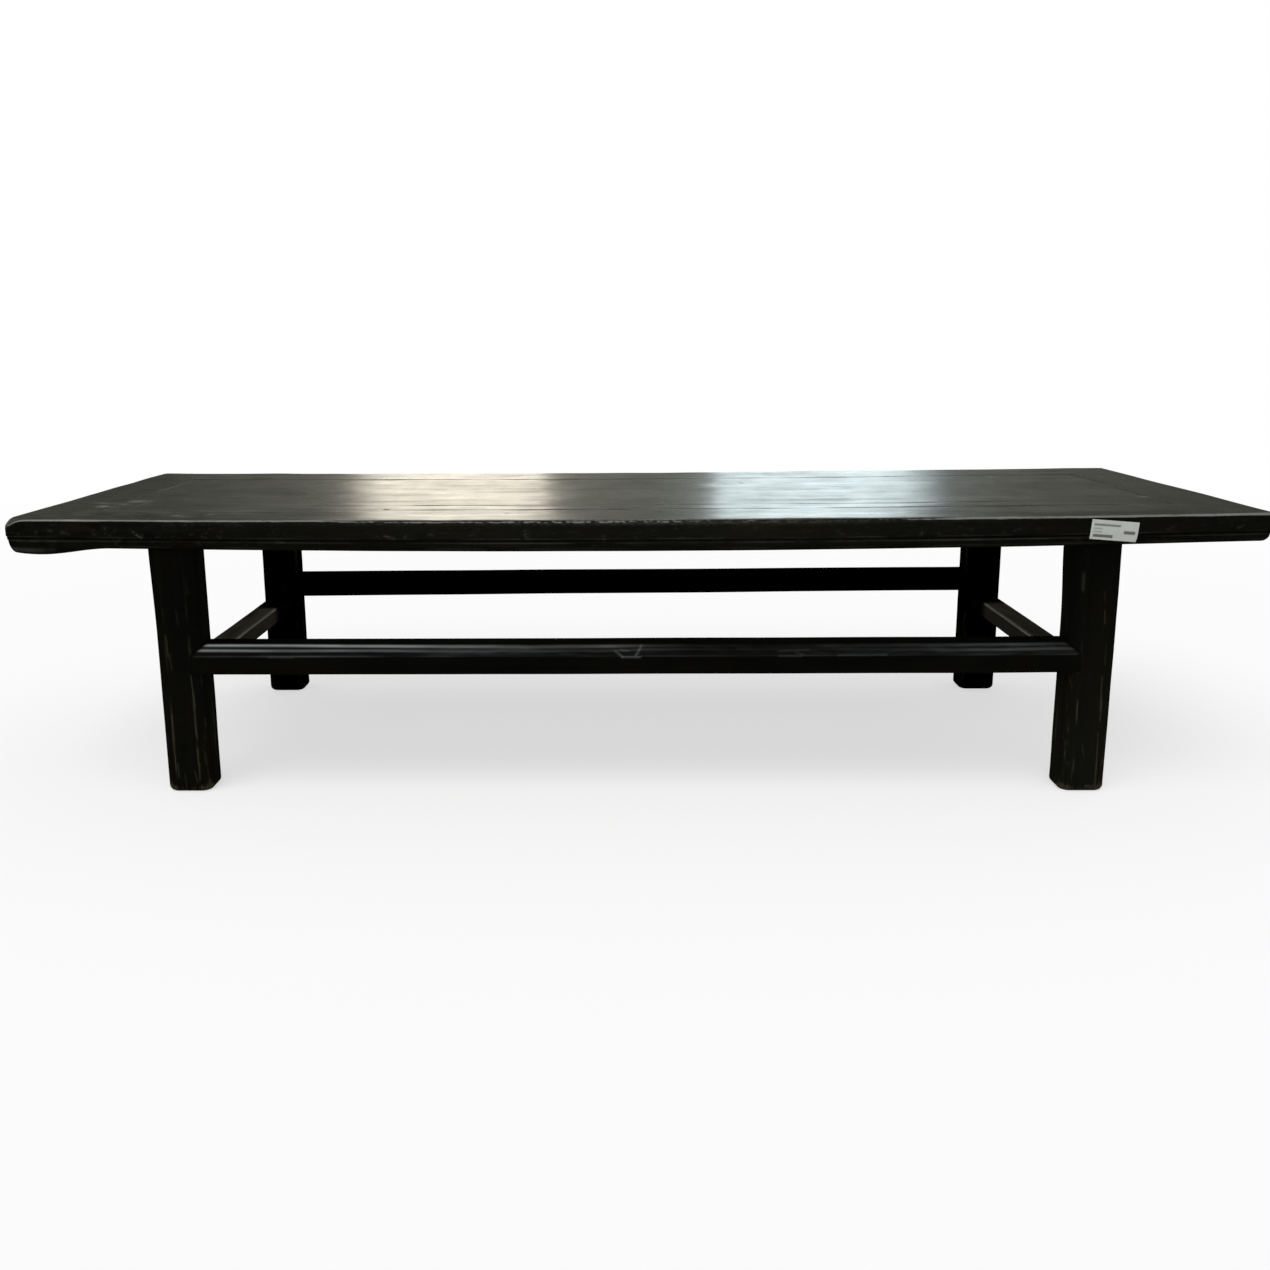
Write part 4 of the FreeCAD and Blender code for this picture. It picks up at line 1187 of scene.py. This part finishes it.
def pegs(name, x, y, z, heading):
    """Four pegs, one at each corner of the table, from the one at the front right."""
    shells = []
    for sign_x in (1, -1):
        for sign_y in (1, -1):
            place = np.array([x * sign_x, y * sign_y, z])
            if heading[2]:
                place[2] = settled(place[0], place[1], z)
            turned = np.array(heading) * (sign_x, sign_y, 1)
            shells.append(peg(place, turned))
    make_piece(name, shells, [peg_wood], {})


def label():
    """The paper label: a thin sheet on a grid, tilted, its lower edge bent in towards the moulding
    and one corner lifted a little; the back of the sheet is the same grid moved back."""
    across, up = np.meshgrid(np.linspace(0, 1, 39), np.linspace(0, 1, 19), indexing="ij")
    worn_corner = 1.3 * MM * hump(across - 1, 0.06) * hump(up, 0.12)
    a = (across - 0.5) * label_width - worn_corner
    b = (up - 0.5) * label_height
    x = label_x + a * math.cos(label_tilt) + b * math.sin(label_tilt)
    z = label_z - a * math.sin(label_tilt) + b * math.cos(label_tilt)
    bend = 0.55 * MM * ease(338 * MM - z, 0, 10 * MM)
    lift = 0.05 * MM * ripple(x, z, 30 * MM, 20 * MM, 5)
    y = -half_depth - 0.2 * MM + bend + np.clip(lift, -0.08 * MM, 0.05 * MM)
    front = np.stack([x, y, z], -1)
    back = front + np.array([0, label_thickness, 0])
    rings = np.concatenate([front, back[:, ::-1]], 1)
    both = [np.concatenate([item, item[:, ::-1]], 1) for item in (across, up)]
    values = {"across": both[0], "up": both[1]}
    make_piece("paper_label", [rings], [paper], values)


def make_top():
    """The frame's four rails, the three boards and the battens under them."""
    rail("front_rail", True, -1, 11)
    rail("back_rail", True, 1, 23)
    rail("left_end_rail", False, -1, 37)
    rail("right_end_rail", False, 1, 41)
    edge = half_depth - long_rail_width - panel_gap
    front_joint = (front_board_joint - board_gap / 2, front_board_joint + board_gap / 2)
    back_joint = (back_board_joint - board_gap / 2, back_board_joint + board_gap / 2)
    board("front_board", -edge, front_joint[0], 53, 1.0, 0.65, tongue_length, 0)
    board("middle_board", front_joint[1], back_joint[0], 67, 0.65, 0.14,
          joint_tongue_length, joint_tongue_length)
    board("back_board", back_joint[1], edge, 67, 0.14, 1.0, 0, tongue_length)
    batten("left_batten", -batten_spacing, 3)
    batten("middle_batten", 0, 4)
    batten("right_batten", batten_spacing, 6)


def make_stand():
    """The legs, the stretchers and the ends of the pegs that hold them."""
    leg("front_left_leg", -1, 1, 101, left_leg_scuffs, 2.4 * MM)
    leg("front_right_leg", 1, 1, 103, right_leg_scuffs, 3.4 * MM)
    leg("back_left_leg", -1, -1, 107)
    leg("back_right_leg", 1, -1, 109)
    long_stretcher("front_stretcher", 1, 211)
    long_stretcher("back_stretcher", -1, 223)
    side_stretcher("left_stretcher", -1, 307)
    side_stretcher("right_stretcher", 1, 311)
    pegs("frame_corner_pins", 729.7 * MM, -224.8 * MM, frame_bottom, (0, 0, -1))
    pegs("long_stretcher_pins", 567.4 * MM, leg_back, 177 * MM, (0, 1, 0))
    pegs("side_stretcher_pins", leg_inner, -233.7 * MM, 149 * MM, (-1, 0, 0))


# Floor, lamps and camera

def stage_mesh(name, points, faces, material, only_in_gloss=True):
    """A stage object of flat faces, hidden from everything but glossy reflections if so wished."""
    mesh = bpy.data.meshes.new(name)
    mesh.from_pydata(points, [], faces)
    mesh.materials.append(material)
    obj = bpy.data.objects.new(name, mesh)
    bpy.context.scene.collection.objects.link(obj)
    if only_in_gloss:
        for title in ("camera", "diffuse", "shadow", "transmission"):
            setattr(obj, "visible_" + title, False)


def card(name, left, right, colour, strength, dark_at, bright_at):
    """A tall card behind the table between two x values, that only glossy surfaces see. It glows
    at full strength past the second of the last two x values and not at all before the first."""
    far, low, high = 4.2, 0.02, 2.4
    corners = [(left, far, low), (right, far, low), (right, far, high), (left, far, high)]
    finish = Finish(name + "_glow")
    level = ((finish.place_along() - dark_at) / (bright_at - dark_at)).clamped() * strength
    glow = finish.add("ShaderNodeEmission", {}, {"Color": colour, "Strength": level})
    stage_mesh(name, corners, [(0, 1, 2, 3)], finish.end(glow))


def make_screens():
    """Grey screens all round, seen only in gloss: a ring of upright panels, dimmer to the sides."""
    radius, tall, panels = 4.6, 3.4, 48
    angle = np.linspace(0, 2 * math.pi, panels + 1)[:-1]
    ring = np.stack([radius * np.cos(angle), radius * np.sin(angle), angle * 0], -1)
    points = np.concatenate([ring, ring + (0, 0, tall)])
    near = np.arange(panels)
    after = (near + 1) % panels
    faces = np.stack([near, after, after + panels, near + panels], -1)
    finish = Finish("grey_screens")
    across = finish.place_along()
    aside = (across - 0.2) * (across - 0.2)
    dimmed = ((aside - 1.2) / 4.6).clamped() - ((aside - 8) / 6).clamped()
    level = 0.212 - dimmed * 0.122
    glow = finish.add("ShaderNodeEmission", {}, {"Color": (0.985, 1.0, 0.83, 1), "Strength": level})
    stage_mesh("grey_screens", points.tolist(), faces.tolist(), finish.end(glow))


def make_floor():
    """A pale floor that keeps the table's shadow and turns white with the distance."""
    size = 60
    corners = [(-size, -size, 0), (size, -size, 0), (size, size, 0), (-size, size, 0)]
    finish = Finish("pale_floor")
    clouds = finish.noise(finish.place(), 0.5, 2)
    colour = finish.blend(clouds, (0.93, 0.93, 0.925, 1), (0.945, 0.945, 0.94, 1))
    matt = finish.add("ShaderNodeBsdfDiffuse", {}, {"Color": colour})
    white = finish.add("ShaderNodeEmission", {}, {"Strength": 1.0})
    away = finish.add("ShaderNodeVectorMath", {"operation": "LENGTH"}, {0: finish.place()}, "Value")
    far = ((away - 1.6) / 2.4).clamped()
    lift = finish.seen_or_mirrored() * (0.6 + far * 0.4)
    pale = finish.end(finish.mix(lift, matt, white))
    stage_mesh("pale_floor", corners, [(0, 1, 2, 3)], pale, only_in_gloss=False)


def make_studio():
    """The floor, a pale world, one broad soft lamp, two tall bright cards behind the table that
    show in its top, and the grey screens. The world looks white and lights more gently."""
    make_floor()
    light = 0.62
    world = bpy.data.worlds.new("pale_room")
    bpy.context.scene.world = world
    room = Finish("pale_room", world)
    strength = light + room.seen_or_mirrored() * (1 - light)
    pale = room.add("ShaderNodeBackground", {}, {"Color": (1, 1, 1, 1), "Strength": strength})
    room.add("ShaderNodeOutputWorld", {}, {"Surface": pale})

    lamp = bpy.data.lights.new("broad_soft_lamp", "SUN")
    lamp.energy = 1.35
    lamp.angle = math.radians(50)
    lamp_object = bpy.data.objects.new("broad_soft_lamp", lamp)
    lamp_object.rotation_euler = (math.radians(28), math.radians(-14), 0)
    bpy.context.scene.collection.objects.link(lamp_object)

    card("left_panel_card", -1.33, -0.37, (1, 0.925, 0.78, 1), 2.1, -1.34, -1.16)
    card("right_panel_card", 0.44, 1.55, (0.85, 0.985, 1, 1), 2.0, 1.55, 1.3)
    make_screens()


def make_camera():
    """The photograph's camera: its place, heading and roll worked out from the table's outlines.
    Lens and shift come from a focal length of 1241 and a centre at 593.2, 617.6 of 1270 pixels."""
    size = 1270
    focal, centre_x, centre_y = 1241.0, 593.21, 617.61
    pitch, roll, yaw = (math.radians(angle) for angle in (12.44, 0.49, -1.32))
    ahead = np.array([math.sin(yaw) * math.cos(pitch), math.cos(yaw) * math.cos(pitch), -math.sin(pitch)])
    right = np.array([math.cos(yaw), -math.sin(yaw), 0])
    down = np.cross(ahead, right)
    turned_right = math.cos(roll) * right + math.sin(roll) * down
    turned_down = math.cos(roll) * down - math.sin(roll) * right
    camera = bpy.data.cameras.new("camera")
    camera.sensor_width = 36
    camera.lens = focal / size * camera.sensor_width
    camera.shift_x = (size / 2 - centre_x) / size
    camera.shift_y = (centre_y - size / 2) / size
    camera.clip_end = 200
    camera_object = bpy.data.objects.new("camera", camera)
    axes = Matrix([turned_right, -turned_down, -ahead]).transposed().to_4x4()
    axes.translation = (-13.63 * MM, -1779.06 * MM, 563.97 * MM)
    camera_object.matrix_world = axes
    bpy.context.scene.collection.objects.link(camera_object)
    bpy.context.scene.camera = camera_object


make_top()
make_stand()
label()
make_studio()
make_camera()
bpy.context.scene.view_settings.view_transform = "Standard"
